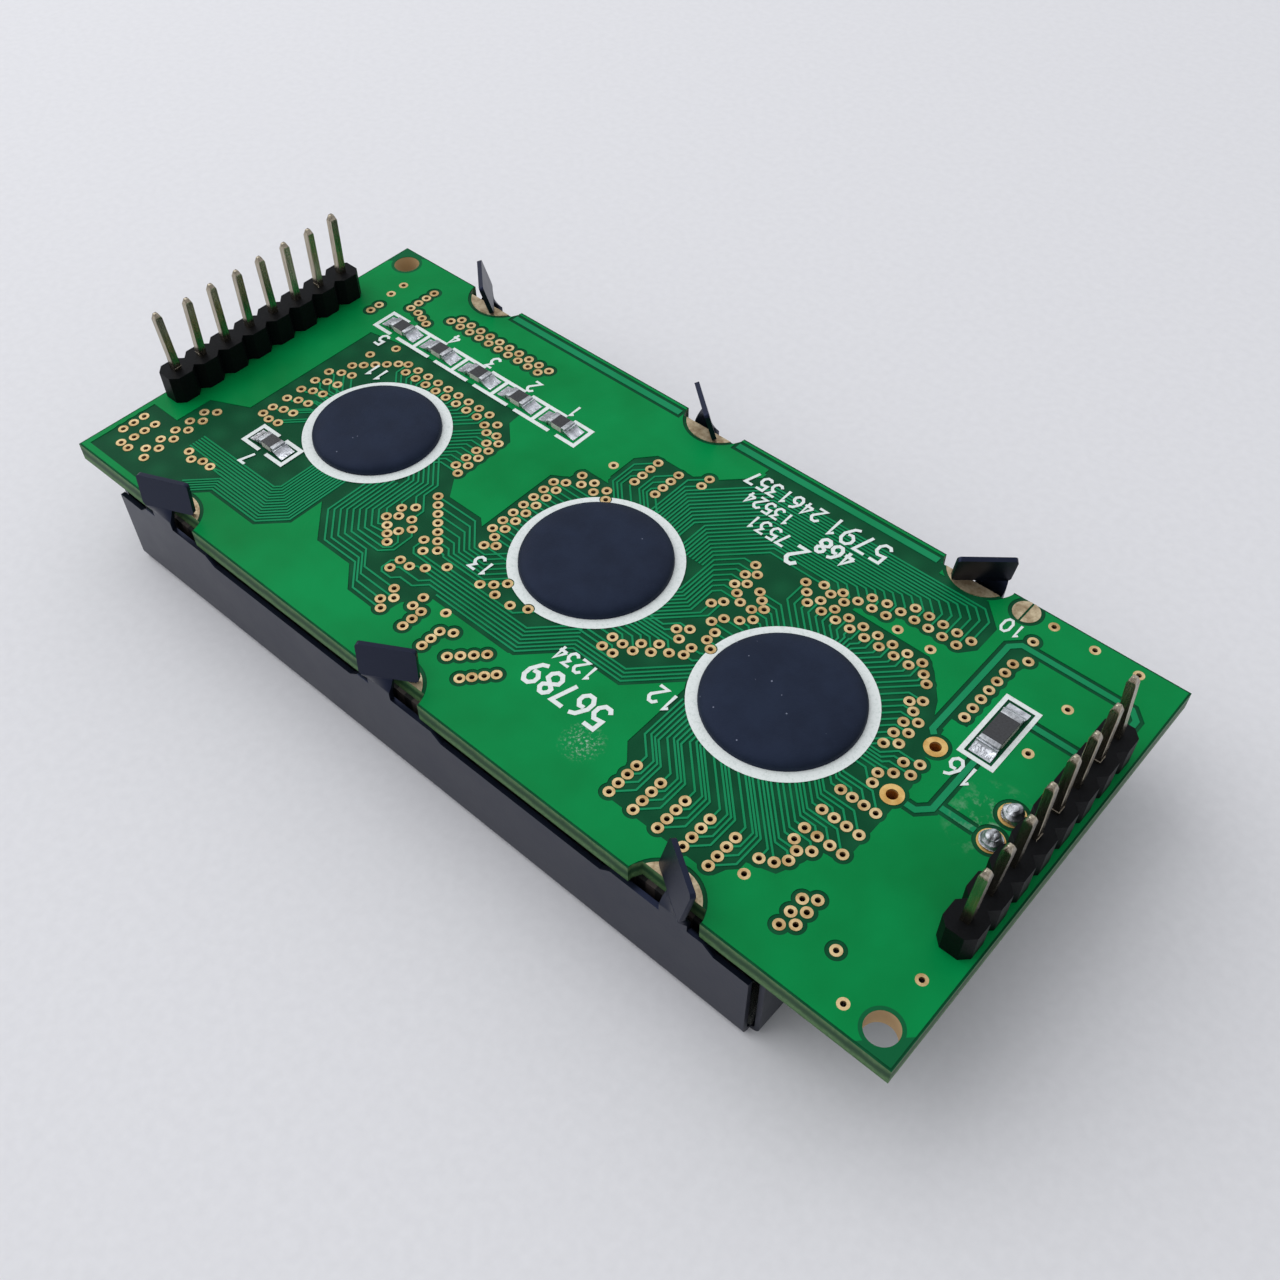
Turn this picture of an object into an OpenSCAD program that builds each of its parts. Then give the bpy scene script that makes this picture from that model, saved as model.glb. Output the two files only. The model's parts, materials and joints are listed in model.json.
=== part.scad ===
// Character LCD module, 20 x 4, edge lit, driven by three chips under epoxy.
// It lies on its display face, so the rear of the driver board is up.
// Frame: origin under the board's centre in the plane of the bezel's face,
// +X along the board from the left header to the right one, +Z from the
// display face to the rear.

/* [Board] */
// Length of the driver board
board_l = 80; // [79:0.5:90]
// Width of the driver board
board_w = 36; // [35.5:0.25:40]
// Thickness of the driver board
board_t = 1.6; // [1:0.1:2]
// Distance of the display's centre from the board's centre
display_shift = 2.5; // [1:0.25:3]
// Diameter of the two mounting holes
mount_d = 2.3; // [2:0.1:2.6]
// Distance of a mounting hole from the short edge
mount_end = 1.9; // [1.7:0.1:2.1]
// Distance of a mounting hole from the long edge
mount_side = 1.8; // [1.7:0.1:2.5]

/* [Bezel] */
// How much shorter than the board the bezel is
bezel_short = 13.5; // [12.5:0.25:14]
// Depth of the bezel from its face to the board
bezel_depth = 7.9; // [7.5:0.1:10]
// Thickness of the bezel's steel sheet
sheet_t = 0.4; // [0.3:0.05:0.5]
// Outer radius of the bends
bend_r = 0.7; // [0.6:0.05:1]
// How far the long walls stand outside the board
wall_out = 0.25; // [0.2:0.01:0.3]
// Slit between the end walls and the long walls
corner_slit = 0.35; // [0.25:0.05:0.6]
// Width of the rim at the ends of the display window
rim_end = 3.25; // [2.75:0.25:8]
// Width of the rim at the long sides of the display window
rim_side = 5.45; // [5:0.05:8]
// How far the wall drops between its shoulders
wall_drop = 0.7; // [0.3:0.1:1.2]

/* [Tabs] */
// Distance between the tabs of one side, on a board as long as the layout
tab_step = 25.4; // [24:0.1:26]
// Distance of a tab's stem from the middle of its notch
tab_offset = 1; // [0.8:0.05:1.1]
// Width of a tab's stem
stem_w = 2.3; // [1.8:0.05:2.4]
// Height of the twisted neck
neck_h = 1; // [0.8:0.05:1.2]
// Length of a tab's head
head_l = 4.4; // [4:0.1:4.8]
// Height of a tab's head
head_h = 2.9; // [2:0.1:3.5]
// Width of a notch in the board
notch_w = 5.2; // [5:0.1:5.6]
// Depth of a notch in the board
notch_d = 1; // [1:0.05:1.3]
// Radius of the ground land round a notch
land_r = 2.75; // [2.7:0.05:3]

/* [Display cell] */
// Thickness of each glass plate
glass_t = 1.1; // [0.7:0.1:1.1]
// Thickness of each polarizer
polarizer_t = 0.2; // [0.15:0.01:0.25]
// Height of the seal between the glass plates
seal_t = 0.1; // [0.05:0.01:0.15]
// Width of the ledge that carries the contacts
ledge_w = 2.6; // [2.4:0.1:3]
// Thickness of the rubber connector strips
zebra_t = 2; // [1.6:0.1:2.2]

/* [Backlight] */
// Thickness of the light guide
guide_t = 3; // [2:0.1:3.5]
// Thickness of the diffuser and of the reflector
film_t = 0.1; // [0.05:0.01:0.2]
// Wall and floor of the backlight frame
frame_t = 0.8; // [0.6:0.05:0.9]
// Distance between the two backlight leads
lead_pitch = 2.54; // [2.3:0.02:3]
// Distance of the backlight leads from the board's end
lead_inset = 4; // [3.6:0.1:4.2]
// Side of the backlight leads' section
lead_w = 0.5; // [0.4:0.05:0.6]

/* [Headers] */
// Number of pins in each header
pin_count = 8; // [4:1:8]
// Distance between the pins
pin_pitch = 2.54; // [2.4:0.01:2.54]
// Side of a pin's square section
pin_w = 0.64; // [0.5:0.02:0.7]
// Length of a pin above its plastic body
pin_above = 5.6; // [4:0.1:7]
// Length of a pin below the board
pin_below = 1.4; // [1:0.1:1.8]
// Height of the plastic body
body_h = 2.54; // [2:0.02:3]
// Distance of the left header from the board's end
left_inset = 1.27; // [1.27:0.01:1.4]
// Distance of the right header from the board's end
right_inset = 1.7; // [1.5:0.05:1.9]
// Distance of both headers from the board's centre line
header_y = 0.45; // [0:0.05:1]

/* [Chips] */
// Radius of the two large epoxy blobs
glob_r = 5.9; // [5:0.1:6]
// Radius of the small epoxy blob
small_glob_r = 5.3; // [4.8:0.1:5.5]
// Height of the epoxy blobs
glob_h = 0.95; // [0.8:0.05:1.5]
// Width of the printed ring round a blob
ring_w = 0.85; // [0.5:0.05:0.9]
// Side of a silicon die
die_w = 3.2; // [2.5:0.1:4]
// Thickness of a silicon die
die_t = 0.45; // [0.3:0.05:0.6]

/* [Resistors] */
// Distance between the five resistors in the row
resistor_pitch = 4.8; // [4.7:0.05:5]
// Length of a small resistor
chip_l = 2; // [1.6:0.1:2.2]
// Width of a small resistor
chip_w = 1.25; // [1:0.05:1.4]
// Height of a small resistor
chip_h = 0.55; // [0.4:0.05:0.7]
// Length of the large resistor
large_l = 3.2; // [3:0.1:3.4]
// Width of the large resistor
large_w = 1.6; // [1.4:0.05:1.8]
// Length of an end cap
cap_l = 0.45; // [0.3:0.05:0.6]
// Stroke of the printed frames
print_w = 0.35; // [0.25:0.05:0.4]

/* [Copper] */
// Thickness of the copper with its mask
copper_t = 0.05; // [0.03:0.01:0.1]
// Thickness of the white print
print_t = 0.03; // [0.02:0.01:0.05]
// Width of a fine conductor
trace_w = 0.15; // [0.1:0.01:0.18]
// Width of a wide conductor
wide_w = 0.45; // [0.3:0.05:0.5]
// Gap from the copper field to what it clears
clear_w = 0.3; // [0.2:0.05:0.3]
// Distance of the copper field from the board's edges
field_inset = 0.15; // [0.1:0.05:0.3]
// Diameter of a small plated hole's bore
via_bore = 0.4; // [0.3:0.02:0.44]
// Diameter of a small plated hole's ring
via_ring = 0.84; // [0.7:0.02:0.84]
// Diameter of a large plated hole's ring
spare_ring = 1.66; // [1.5:0.02:1.8]
// Diameter of the rings at the header pins
header_ring = 1.7; // [1.5:0.05:1.8]
// Thickness of the plating in a hole
plating_t = 0.08; // [0.05:0.01:0.1]

/* [Hidden] */
$fn = 48;
e = 0.01;                                  // overrun of a cut through a face
$gap = 0;                                  // extra width either side of a conductor

// Levels, from the display face up
under_z = bezel_depth;                     // board's display side
board_z = under_z + board_t;               // board's rear side
top_z = board_z + copper_t;                // top of the copper
bezel_l = board_l - bezel_short;
bezel_w = board_w + 2 * wall_out;
window_l = bezel_l - 2 * rim_end;
window_w = bezel_w - 2 * rim_side;

// Copper, print and small parts are laid out on a board of these sides, and
// spread as the board grows
layout = [80, 36];
function laid(p) = [p[0] * board_l / layout[0], p[1] * board_w / layout[1]];
tab_pitch = laid([tab_step, 0])[0];        // from notch to notch

// Display cell, from the bezel's face plate up
front_polarizer_z = sheet_t;
front_glass_z = front_polarizer_z + polarizer_t;
seal_z = front_glass_z + glass_t;
rear_glass_z = seal_z + seal_t;
rear_polarizer_z = rear_glass_z + glass_t;
diffuser_z = rear_polarizer_z + polarizer_t;
guide_z = diffuser_z + film_t;
reflector_z = guide_z + guide_t;
floor_z = reflector_z + film_t;
cell_clear = 0.25;                         // from the glass to the bezel's walls
cell_l = bezel_l - 2 * (sheet_t + cell_clear);
cell_w = bezel_w - 2 * (sheet_t + cell_clear);
rear_cell_w = cell_w - 2 * ledge_w;
polarizer_lap = 1.5;                       // how far the polarizers lap the window
frame_l = cell_l;
frame_w = rear_cell_w - 0.4;
led_room = 1.8;                            // room for the lamps at the guide's end
guide_l = frame_l - 2 * frame_t - led_room;
guide_w = frame_w - 2 * frame_t;
guide_x = -led_room / 2;
seal_w = 1;
film_clear = 0.2;                          // from the diffuser's edge to the tray's wall

// Lamps in the room at the guide's end
led_count = 4;
led_pitch = 6;
led_l = 3;
led_h = 1.6;
strip_t = 1;
lead_above = 0.55;                         // leads above the board

// Headers
pin_z = under_z - pin_below;
body_w = 2.5;
header_cut = 0.6;                          // cut corners between the pins
body_top_z = top_z + body_h;
tip_z = body_top_z + pin_above;
left_x = -board_l / 2 + left_inset;
right_x = board_l / 2 - right_inset;
row_l = (pin_count - 1) * pin_pitch;
first_y = header_y - row_l / 2;
tip_h = 0.5;                               // chamfered end of a pin
bend_z = body_top_z + 0.3;                 // where a pin begins to lean
bore_d = header_ring - 0.6;                // inside of the plating at a pin

// How each pin leans, in degrees about X and about Y, from the low-y end up
left_lean = [[2, -2], [-1, 1], [0, 0], [0, 1], [1, 0], [0, 0], [-1, 0], [-3, -2]];
right_lean = [[-1, 2], [2, 3], [3, 2], [0, -1], [-1, -1], [1, 0], [-1, -1], [-2, -5]];

// Tabs: [end of the display, side of the board, twist, lean over the board]
tab_z = under_z;                           // top of the shoulders
stem_h = board_t + 2 * copper_t - neck_h;
tab_t = sheet_t;
tabs = [[-1, -1, 24, 6], [0, -1, 30, 7], [1, -1, 33, 15],
        [-1, 1, 42, 15], [0, 1, 39, 15], [1, 1, 40, 15]];
root_h = 0.12;                             // straight end of the neck under the head
head_back = 1.3;                           // head behind the stem's middle
head_r = 0.3;
shoulder_wing = 4.3;                       // shoulder on the head's side of a notch
shoulder_back = 3.4;
shoulder_slope = 0.9;
land_out = 0.45;                           // land's centre outside the board's edge
land_clear = 0.15;                         // from a land to a conductor
notch_flare = 0.35;

// Holes beside the headers
spare_holes = [laid([29.25, 2.55]), laid([29.25, -2.5])];
spare_bore = 0.84;
lead_x = board_l / 2 - lead_inset;
lead_ring = 1.9;
lead_bore = 0.9;
mounts = [[board_l / 2 - mount_end, -board_w / 2 + mount_side],
          [-board_l / 2 + mount_end, board_w / 2 - mount_side]];

// Chips: centre and radius of each blob
chips = [[-22.75, -1], [0.55, 0.15], [19.2, -1.15]];
chip_r = [small_glob_r, glob_r, glob_r];
globs = [for (i = [0:2]) concat(laid(chips[i]), chip_r[i])];

// Resistors: centre, turned or not, large or not
row_end = laid([-11.85, 9.35]);
resistors = [for (i = [0:4]) [row_end[0] - i * resistor_pitch, row_end[1], 0, 0]];
feedback = concat(laid([-27.9, -7.75]), [0, 0]);
large = concat(laid([31.85, 6.4]), [90, 1]);
large_land = 2.6;                          // from the middle to the land's end
small_land = 2;

// Split jumper
jumper_r = 1.05;
jumper = [laid([27.5, 0])[0], board_w / 2 - jumper_r];
jumper_slit = 0.16;

// Rows of small plated holes: first hole, step to the next, number of holes
via_rows = [
    // right of chip 3
    [26.45, 5.2, 0, -1.17, 5], [27.25, 3.45, 0, -1.15, 3], [25.75, 4.6, 0, 1, 1],
    [29.3, 0.65, 0, -1.1, 2], [28.35, 0.1, 0, -1.15, 2], [27.55, -1.7, 0.2, -0.9, 2],
    [26.5, -4.4, 0.93, 0, 4], [26.5, -6.45, 0.98, 0, 4], [26.5, -8.3, 1, 0, 4],
    [26.5, -9.4, 1.4, 0, 2], [27.15, -10, 0.05, -0.9, 2], [26.6, -11.6, -0.9, -0.4, 2],
    // five columns below chip 3
    for (i = [0:4]) [15.2 + 2.11 * i, -11.8, 0, -0.91, 4],
    // cluster by the right corner
    [29.5, -12.5, 0, -1.17, 3], [30.28, -11.95, 0, -1.12, 3], [33.15, -13.95, 0, 1, 1],
    // column beside the wide conductor
    [29.35, 14.8, 0, 1, 1], [30.05, 13, 0, 1, 1], [29.35, 12.1, 0, -1.03, 7],
    // above chip 3
    [14.35, 8, 1.27, 0, 9], [15, 7.2, 1.27, 0, 9], [25.8, 6.6, 0, 1, 1],
    [21.25, 11.95, 1.19, 0, 5], [19.45, 10.95, 1.19, 0, 6], [18.3, 10.7, 0, 1, 1],
    [17.7, 9.75, 1.17, 0.1, 3], [14.9, 9.4, 1.5, 0.3, 2], [15.8, 9, 1.2, 0, 2],
    [13.7, 8.75, 0, 1, 1],
    // between chips 2 and 3
    [9.85, 7.65, 0, -1.25, 3], [10.55, 6.95, 0, -1.2, 3], [11.3, 4, 1.05, 0, 2],
    [11.75, 5.75, 0.65, -0.58, 3], [13.05, 3.3, -0.68, -0.7, 2], [11.4, 2, -0.5, -0.8, 2],
    [11.75, 0.55, 0, -0.9, 2], [12.5, -0.85, 0, 1, 1], [10.35, 3.25, -0.6, -0.7, 2],
    [10.2, -0.4, 0, -1.2, 2], [9.45, -1, 0, -1.9, 2], [11.4, -1.65, 0, -0.85, 2],
    [10.5, -3.05, 0, 1, 1], [9.5, -3.85, -1.05, 0.15, 2], [6.5, -4.6, 0.97, 0, 3],
    [6.5, -5.7, 1, 0, 2],
    // above chip 2
    [1.35, 12.5, 0, -1, 2], [-2.95, 11.25, 0, -0.95, 4], [-0.8, 11.25, 0, -0.95, 4],
    [-6.55, 6.2, 1.32, 0, 3], [-5.9, 5.4, 1.3, 0, 3],
    // left of chip 2
    [-6.95, 4.75, 0, -1.13, 9], [-7.75, 4.18, 0, -1.13, 7], [-6.2, -3.75, 0, 1, 1],
    // below chip 2
    [-2.8, -5.9, -0.7, -0.75, 2], [-4.3, -7.3, 1.57, 0, 3], [0.1, -6.7, 0, 1, 1],
    // between chips 1 and 2
    [-13.45, -2.95, 0.71, -0.675, 7], [-13.85, -4.95, -0.8, -0.75, 2],
    [-13.1, -6.05, 0.8, -0.7, 2], [-14.15, -6.45, -0.7, -0.65, 2], [-12.95, -7.55, 0, 1, 1],
    [-14.1, -7.7, 0.67, -0.6, 3], [-10.8, -6.9, 0.8, -0.85, 2], [-7.4, -7.7, -1.15, -1.15, 2],
    [-10.6, -9.5, 1, 0, 2], [-10.6, -10.55, 0, 1, 1], [-8.8, -11.75, 0, -1.35, 2],
    [-8.1, -12.4, 0, -1.3, 2],
    // along the lower edge
    [-6.5, -10.95, 0, -1.05, 2], [-5.6, -12, 0, -0.9, 3], [-2.35, -11.85, 0, 1, 1],
    [-3.2, -12.4, 0, -0.87, 3], [0.9, -11.65, -0.67, -0.67, 4], [2.7, -12.5, -0.57, -0.65, 4],
    // right of chip 1
    [-15, 5, 0, -1.14, 5], [-14.2, 4.45, 0, -1.14, 5],
    // above chip 1
    [-27.2, 6.45, 1.24, 0, 9], [-26.6, 5.6, 1.24, 0, 8], [-15.9, 6, 0, -1.25, 2],
    [-16.7, 5.3, 0, 1, 1],
    // left of chip 1
    [-27.9, 5.95, -0.71, -0.69, 5], [-29.75, 2.3, 0, -1.6, 6], [-30.7, 1.95, 0, -1.57, 6],
    [-31.62, 1.35, 0, -1.52, 5], [-31.62, -5.75, 0, 1, 1], [-30.7, 5.2, 1.1, 2, 2],
    // top left
    [-28.2, 13.75, 1.19, 0, 10], [-28.8, 13, 1.19, 0, 10], [-32.9, 14.8, 0, -0.95, 4],
    [-31.9, 11.9, 0.85, -0.3, 3], [-35.4, 10.4, 0, -1, 2],
    // bottom left
    [-38.75, -12.5, 0, -1.03, 3], [-37.25, -12.5, 0, -1.03, 3], [-37.5, -15.65, 0.95, 0, 2],
    [-34.6, -8.2, 0, -1.46, 6], [-35.4, -8.9, 0, -1.46, 5], [-32.45, -12.65, 0.9, -0.45, 2],
    [-30.65, -12.65, 0.95, 0, 2]
];

// Single holes that are joined to the copper field
field_vias = [
    [29.75, 17], [33.05, 17], [36.5, 17], [34.3, 11.1], [34.2, 6.15], [21.45, 9.4],
    [24.25, 9.4], [38.1, -12.15], [35.5, -16.45], [25.7, -13.5], [-5.45, 8.7],
    [-4.15, -10.9], [-35.9, 13.8], [-35.8, 12.2]
];

// Areas of bare laminate in the copper field, where fine conductors run
bare_areas = [
    // round chip 3
    [[13.4, -10.7], [14.6, -12.1], [14.6, -14.9], [24.3, -14.9], [25.2, -12.8], [27.2, -12.2],
     [28, -10.4], [28.3, -9], [29.9, -8.9], [29.9, -1.2], [29.2, 1.4], [28.9, 4.1], [28, 4.1],
     [27.2, 5.9], [25.6, 7.9], [24.6, 8.8], [9, 8.8], [9, -3], [13.4, -3.6]],
    // fan above chips 2 and 3
    [[-0.3, 6], [-0.3, 11.9], [0.9, 11.9], [4.4, 15.4], [4.4, 16], [24.9, 16], [26.8, 14.1],
     [26.8, 11.5], [25.9, 10.4], [20.8, 10.4], [20.2, 9.3], [17.9, 9.3], [17.9, 8.5], [10, 8.5],
     [10, 4], [5, 4]],
    // between chips 2 and 3
    [[-6, -10.6], [1.9, -10.6], [5.2, -7.3], [9.7, -7.3], [13.6, -3.6], [13, 6], [5, 6],
     [0, -6]],
    // two columns above chip 2
    [[-4.8, 7.6], [-4.8, 10.4], [-3.5, 11.9], [0.3, 11.9], [0.3, 6], [-3.3, 6]],
    // left of chip 2
    [[-8.5, 4.6], [-7.2, 5.4], [-6.9, 6.9], [-2.6, 6.9], [-2, -5], [-6, -5], [-8.5, -3]],
    // between chips 1 and 2
    [[-16, 0], [-13.9, -0.8], [-12.7, -2.4], [-9.2, -2.4], [-8.5, -3], [-5, -3], [0, -6],
     [4, -6], [1.9, -10.6], [-6, -10.6], [-7.4, -12.4], [-7.6, -14.1], [-11.3, -14.1],
     [-13.2, -12.3], [-16.9, -12.3], [-19.9, -9.3], [-20, -5]],
    // round chip 1
    [[-20, -5], [-20.1, -12.5], [-22, -14.4], [-27.6, -14.4], [-30.3, -17.3], [-39.4, -17.3],
     [-39.4, -11], [-36.3, -11], [-36.3, -7.6], [-33, -6], [-33, 7.3], [-28.4, 8.2],
     [-15.4, 8.2], [-15.3, 6.8], [-13.6, 5.2], [-13.6, 0]],
    // by the wide conductor
    [[28.5, 13.6], [30.2, 13.6], [30.2, 12.3], [29.95, 12], [29.95, 5.3], [28.5, 5.2]],
    // beside the upper edge
    [[4.2, 15.9], [4.2, 17], [20.6, 17], [20.6, 15.9]]
];

// ---- Small tools ------------------------------------------------------------

function unit(v) = v / norm(v);
function turned_left(v) = [-v[1], v[0]];
function reversed(p) = [for (i = [len(p) - 1:-1:0]) p[i]];

// A point of route p moved sideways by d, mitred at its corner
function side_point(p, i, d) =
    let (last = len(p) - 1,
         out = i < last ? unit(p[i + 1] - p[i]) : unit(p[i] - p[i - 1]),
         back = i > 0 ? unit(p[i] - p[i - 1]) : out,
         mitre = turned_left(unit(out + back)))
    p[i] + mitre * d / (mitre * turned_left(out));

function side_route(p, d) = [for (i = [0:len(p) - 1]) side_point(p, i, d)];

// A route from a to b with one 45 degree stretch, which comes first or last
function dogleg(a, b, diagonal_first = false) =
    let (d = b - a,
         run = min(abs(d[0]), abs(d[1])),
         slant = [sign(d[0]) * run, sign(d[1]) * run])
    run < 0.02 ? [a, b] : abs(abs(d[0]) - abs(d[1])) < 0.02 ? [a, b]
        : diagonal_first ? [a, a + slant, b] : [a, b - slant, b];

function row_points(row) = [for (i = [0:row[4] - 1]) [row[0] + row[2] * i, row[1] + row[3] * i]];

vias = [for (row = via_rows) for (p = row_points(row)) laid(p)];
single_vias = [for (p = field_vias) laid(p)];
header_y_of = [for (i = [0:pin_count - 1]) first_y + i * pin_pitch];
header_points = [for (x = [left_x, right_x]) for (y = header_y_of) [x, y]];
lead_points = [for (s = [-1, 1]) [lead_x, s * lead_pitch / 2]];

module at_display() {
    translate([-display_shift, 0, 0]) children();
}

// A conductor along a route; $gap widens it to the room that it needs
module conductor(route, w) {
    half = w / 2 + $gap;
    p = [for (i = [0:len(route) - 1])
         if (i == 0 || norm(route[i] - route[max(i - 1, 0)]) > e) route[i]];
    polygon(concat(side_route(p, half), reversed(side_route(p, -half))));
}

// The same for a route of the layout
module trace(route, w = trace_w) {
    conductor([for (p = route) laid(p)], w);
}

// Dots of one radius at many points
module dots(points, r, n = 20) {
    for (p = points) translate(p) circle(r = r, $fn = n);
}

// A tube along Z
module tube(r_out, r_in, z0, z1) {
    difference() {
        translate([0, 0, z0]) cylinder(r = r_out, h = z1 - z0);
        translate([0, 0, z0 - e]) cylinder(r = r_in, h = z1 - z0 + 2 * e);
    }
}

module plate(l, w, z0, z1) {
    translate([-l / 2, -w / 2, z0]) cube([l, w, z1 - z0]);
}

// ---- Board ------------------------------------------------------------------

// Middle of the notch for each end of the display
function notch_x(end) = -display_shift + end * tab_pitch;

module notch_outline() {
    half = notch_w / 2;
    for (end = [-1, 0, 1], s = [-1, 1])
        translate([notch_x(end), s * board_w / 2])
            polygon([[-half - notch_flare, s], [-half - notch_flare, -s * notch_flare],
                     [-half, -s * notch_d], [half, -s * notch_d],
                     [half + notch_flare, -s * notch_flare], [half + notch_flare, s]]);
}

module board_outline(inset = 0) {
    difference() {
        square([board_l - 2 * inset, board_w - 2 * inset], center = true);
        notch_outline();
    }
}

module mount_holes(r) {
    for (m = mounts) translate(m) circle(r = r);
}

module pcb() {
    color([0.10, 0.36, 0.24]) translate([0, 0, under_z])
        linear_extrude(board_t) difference() {
            board_outline();
            mount_holes(mount_d / 2);
            dots(vias, via_bore / 2 + plating_t);
            dots(single_vias, via_bore / 2 + plating_t);
            dots(spare_holes, spare_bore / 2 + plating_t, $fn);
            dots(header_points, bore_d / 2 + plating_t, $fn);
            dots(lead_points, lead_bore / 2 + plating_t, $fn);
        }
}

// ---- Copper -----------------------------------------------------------------

// Wide conductors by the right header, each in its own gap
edge_w = 0.6;
edge_in = 0.95;                            // middle of the upper one from the board's edge
wide_routes = [
    [[38.3, 12.2], [38.3, 13.3], [37.6, 14], [28.95, 14], [28.25, 13.3], [28.25, 3.7], [28.6, 3.35]],
    [[30.3, -2.5], [31.05, -2.5], [31.85, -1.7], [31.85, 3.6]],
    [[33.2, 8.3], [37, 8.3]],
    [[32.2, -1.27], [34.8, -1.27]]
];

module land_circle(r) {
    for (end = [-1, 0, 1], s = [-1, 1])
        translate([notch_x(end), s * (board_w / 2 + land_out)]) circle(r = r);
}

module copper_pour() {
    color([0.06, 0.56, 0.28]) translate([0, 0, board_z])
        linear_extrude(copper_t) difference() {
            board_outline(field_inset);
            for (a = bare_areas) polygon([for (p = a) laid(p)]);
            for (g = globs) translate([g[0], g[1]]) circle(r = g[2] + ring_w + 0.1);
            dots(vias, via_ring / 2 + clear_w, 24);
            dots(single_vias, via_ring / 2);
            dots(spare_holes, spare_ring / 2 + clear_w);
            dots(header_points, header_ring / 2 + clear_w);
            dots(lead_points, lead_ring / 2 + clear_w);
            mount_holes(mount_d / 2);
            land_circle(land_r + clear_w);
            translate(jumper) circle(r = jumper_r + clear_w);
            fine_traces($gap = clear_w);
            translate([large[0], large[1]]) square([2.3, 5.7], center = true);
        }
}

// Wide conductor along the upper edge, between the lands of two notches
module edge_run(end) {
    y = board_w / 2 - edge_in;
    gap = land_r + clear_w - $gap;
    conductor([[notch_x(end) + gap, y], [notch_x(end + 1) - gap, y]], edge_w);
}

module copper_traces() {
    color([0.16, 0.50, 0.36]) translate([0, 0, board_z])
        linear_extrude(copper_t) difference() {
            fine_traces();
            dots(vias, via_ring / 2);
            land_circle(land_r + land_clear);
        }
}

// Conductors that run in from holes beside a chip. Each goes straight to the
// bend's distance from the chip's centre, then slants in and ends under it.
module side_fan(g, points, bend, reach, lean = 0) {
    c = chips[g];
    for (p = points)
        let (s = sign(p[0] - c[0]),
             dy = p[1] - c[1],
             run = min(abs(p[0] - c[0]), bend - lean * abs(dy)),
             slant = abs(dy) * (1 - reach),
             x = c[0] + s * run,
             y = c[1] + dy * reach,
             inner = c[0] + s * min(run - slant - 0.1, chip_r[g] * 0.6))
        trace([p, [x, p[1]], [x - s * slant, y], [inner, y]]);
}

// The same for holes above a chip
module top_fan(g, points, bend, reach) {
    c = chips[g];
    for (p = points)
        let (dx = p[0] - c[0],
             slant = abs(dx) * (1 - reach),
             x = c[0] + dx * reach,
             y = c[1] + min(bend, p[1] - c[1]))
        trace([p, [p[0], y], [x, y - slant], [x, y - slant - 1.3]]);
}

// Twenty conductors from below chip 3 to the five columns of holes
column_step = [0, 0.62, 0.94, 1.26];
module column_fan() {
    level = -10.8;
    for (i = [0:4], k = [0:3])
        let (x = 15.2 + 2.11 * i,
             xe = x + column_step[k],
             xs = 13.9 + 0.34 * (4 * i + k),
             y = -11.8 - 0.91 * k,
             bend = level + xe - xs,
             elbow = y + column_step[k],
             start = bend > -6.5 ? [[xe - 5.3, level + 5.3]] : [[xs, -5.5], [xs, bend]],
             end = k == 0 ? [[x, y]] : [[xe, elbow], [x, y]])
        trace(concat(start, [[xe, level]], end));
}

// Six holes and three rows of four right of chip 3: [hole, step to its level]
row_step = [0, 0.55, 0.92, 1.29];
right_ends = concat(
    [for (y = [-4.4, -6.45, -8.3], k = [0:3]) [[26.5 + 0.97 * k, y], row_step[k]]],
    [[[27.9, -9.4], 0.5], [[26.5, -9.4], 0], [[27.15, -10], 0], [[27.2, -10.9], 0.5],
     [[26.6, -11.6], 0.84]]
);
module right_fan() {
    corner = 25.75;
    inward = 4.6;
    for (r = right_ends)
        let (p = r[0], y = p[1] + r[1])
        trace([p, [p[0] - r[1], y], [corner, y], [corner - inward, y + inward]]);
    trace([[25.7, -12], [25.7, -11.1], [21.6, -7]]);
}

// Nineteen conductors from chip 2, over the top of chip 3, to the upper holes
upper_ends = [[26.01, 11.95], [25.4, 10.95], [24.82, 11.95], [24.21, 10.95], [23.63, 11.95],
              [23.02, 10.95], [22.44, 11.95], [21.83, 10.95], [21.25, 11.95], [20.64, 10.95],
              [20.04, 9.95], [19.45, 10.95], [18.87, 9.85], [18.3, 10.7], [17.7, 9.75],
              [17, 9], [16.4, 9.7], [15.8, 9], [14.9, 9.4]];
function fan_x(i) = i < 10 ? 0.73 + 0.31 * i : 1.24 + 0.31 * i;
module upper_fan() {
    bend = 0.9;
    for (i = [0:18])
        let (x = fan_x(i),
             c = 9.55 - 0.557 * i,
             y = i < 18 ? 15.2 - 0.31 * i : 9.4,
             p = upper_ends[i])
        trace(concat([[x, 5], [x, x + c], [y - c, y]],
                     i < 18 ? [[p[0] - bend, y], [p[0], y - bend], p] : [p]));
    // the two holes left of the fan
    trace([[0.1, 5.5], [0.1, 11.3], [1.35, 12.5]]);
    trace([[0.42, 5.5], [0.42, 10.6], [1.35, 11.5]]);
}

// Seven conductors round the right of chip 2 to the zigzag beside it
zigzag = [[9.85, 7.65], [10.55, 6.95], [9.85, 6.4], [10.55, 5.75], [9.85, 5.15],
          [10.55, 4.55], [11.3, 4]];
module wrap_fan() {
    for (i = [0:6])
        let (x = 7.15 + 0.314 * i, top = -1.14 - 0.73 * i, low = -5 - 0.49 * i,
             p = zigzag[i], inward = 0.7 + 0.35 * i)
        trace([p, [p[1] - top, p[1]], [x, x + top], [x, x + low], [x - inward, x + low - inward]]);
    trace([[9.75, 2.55], [9.75, 1.33], [6.4, -2.02]]);
    trace([[10.35, 3.25], [10.35, 1.47], [6.6, -2.28]]);
}

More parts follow.
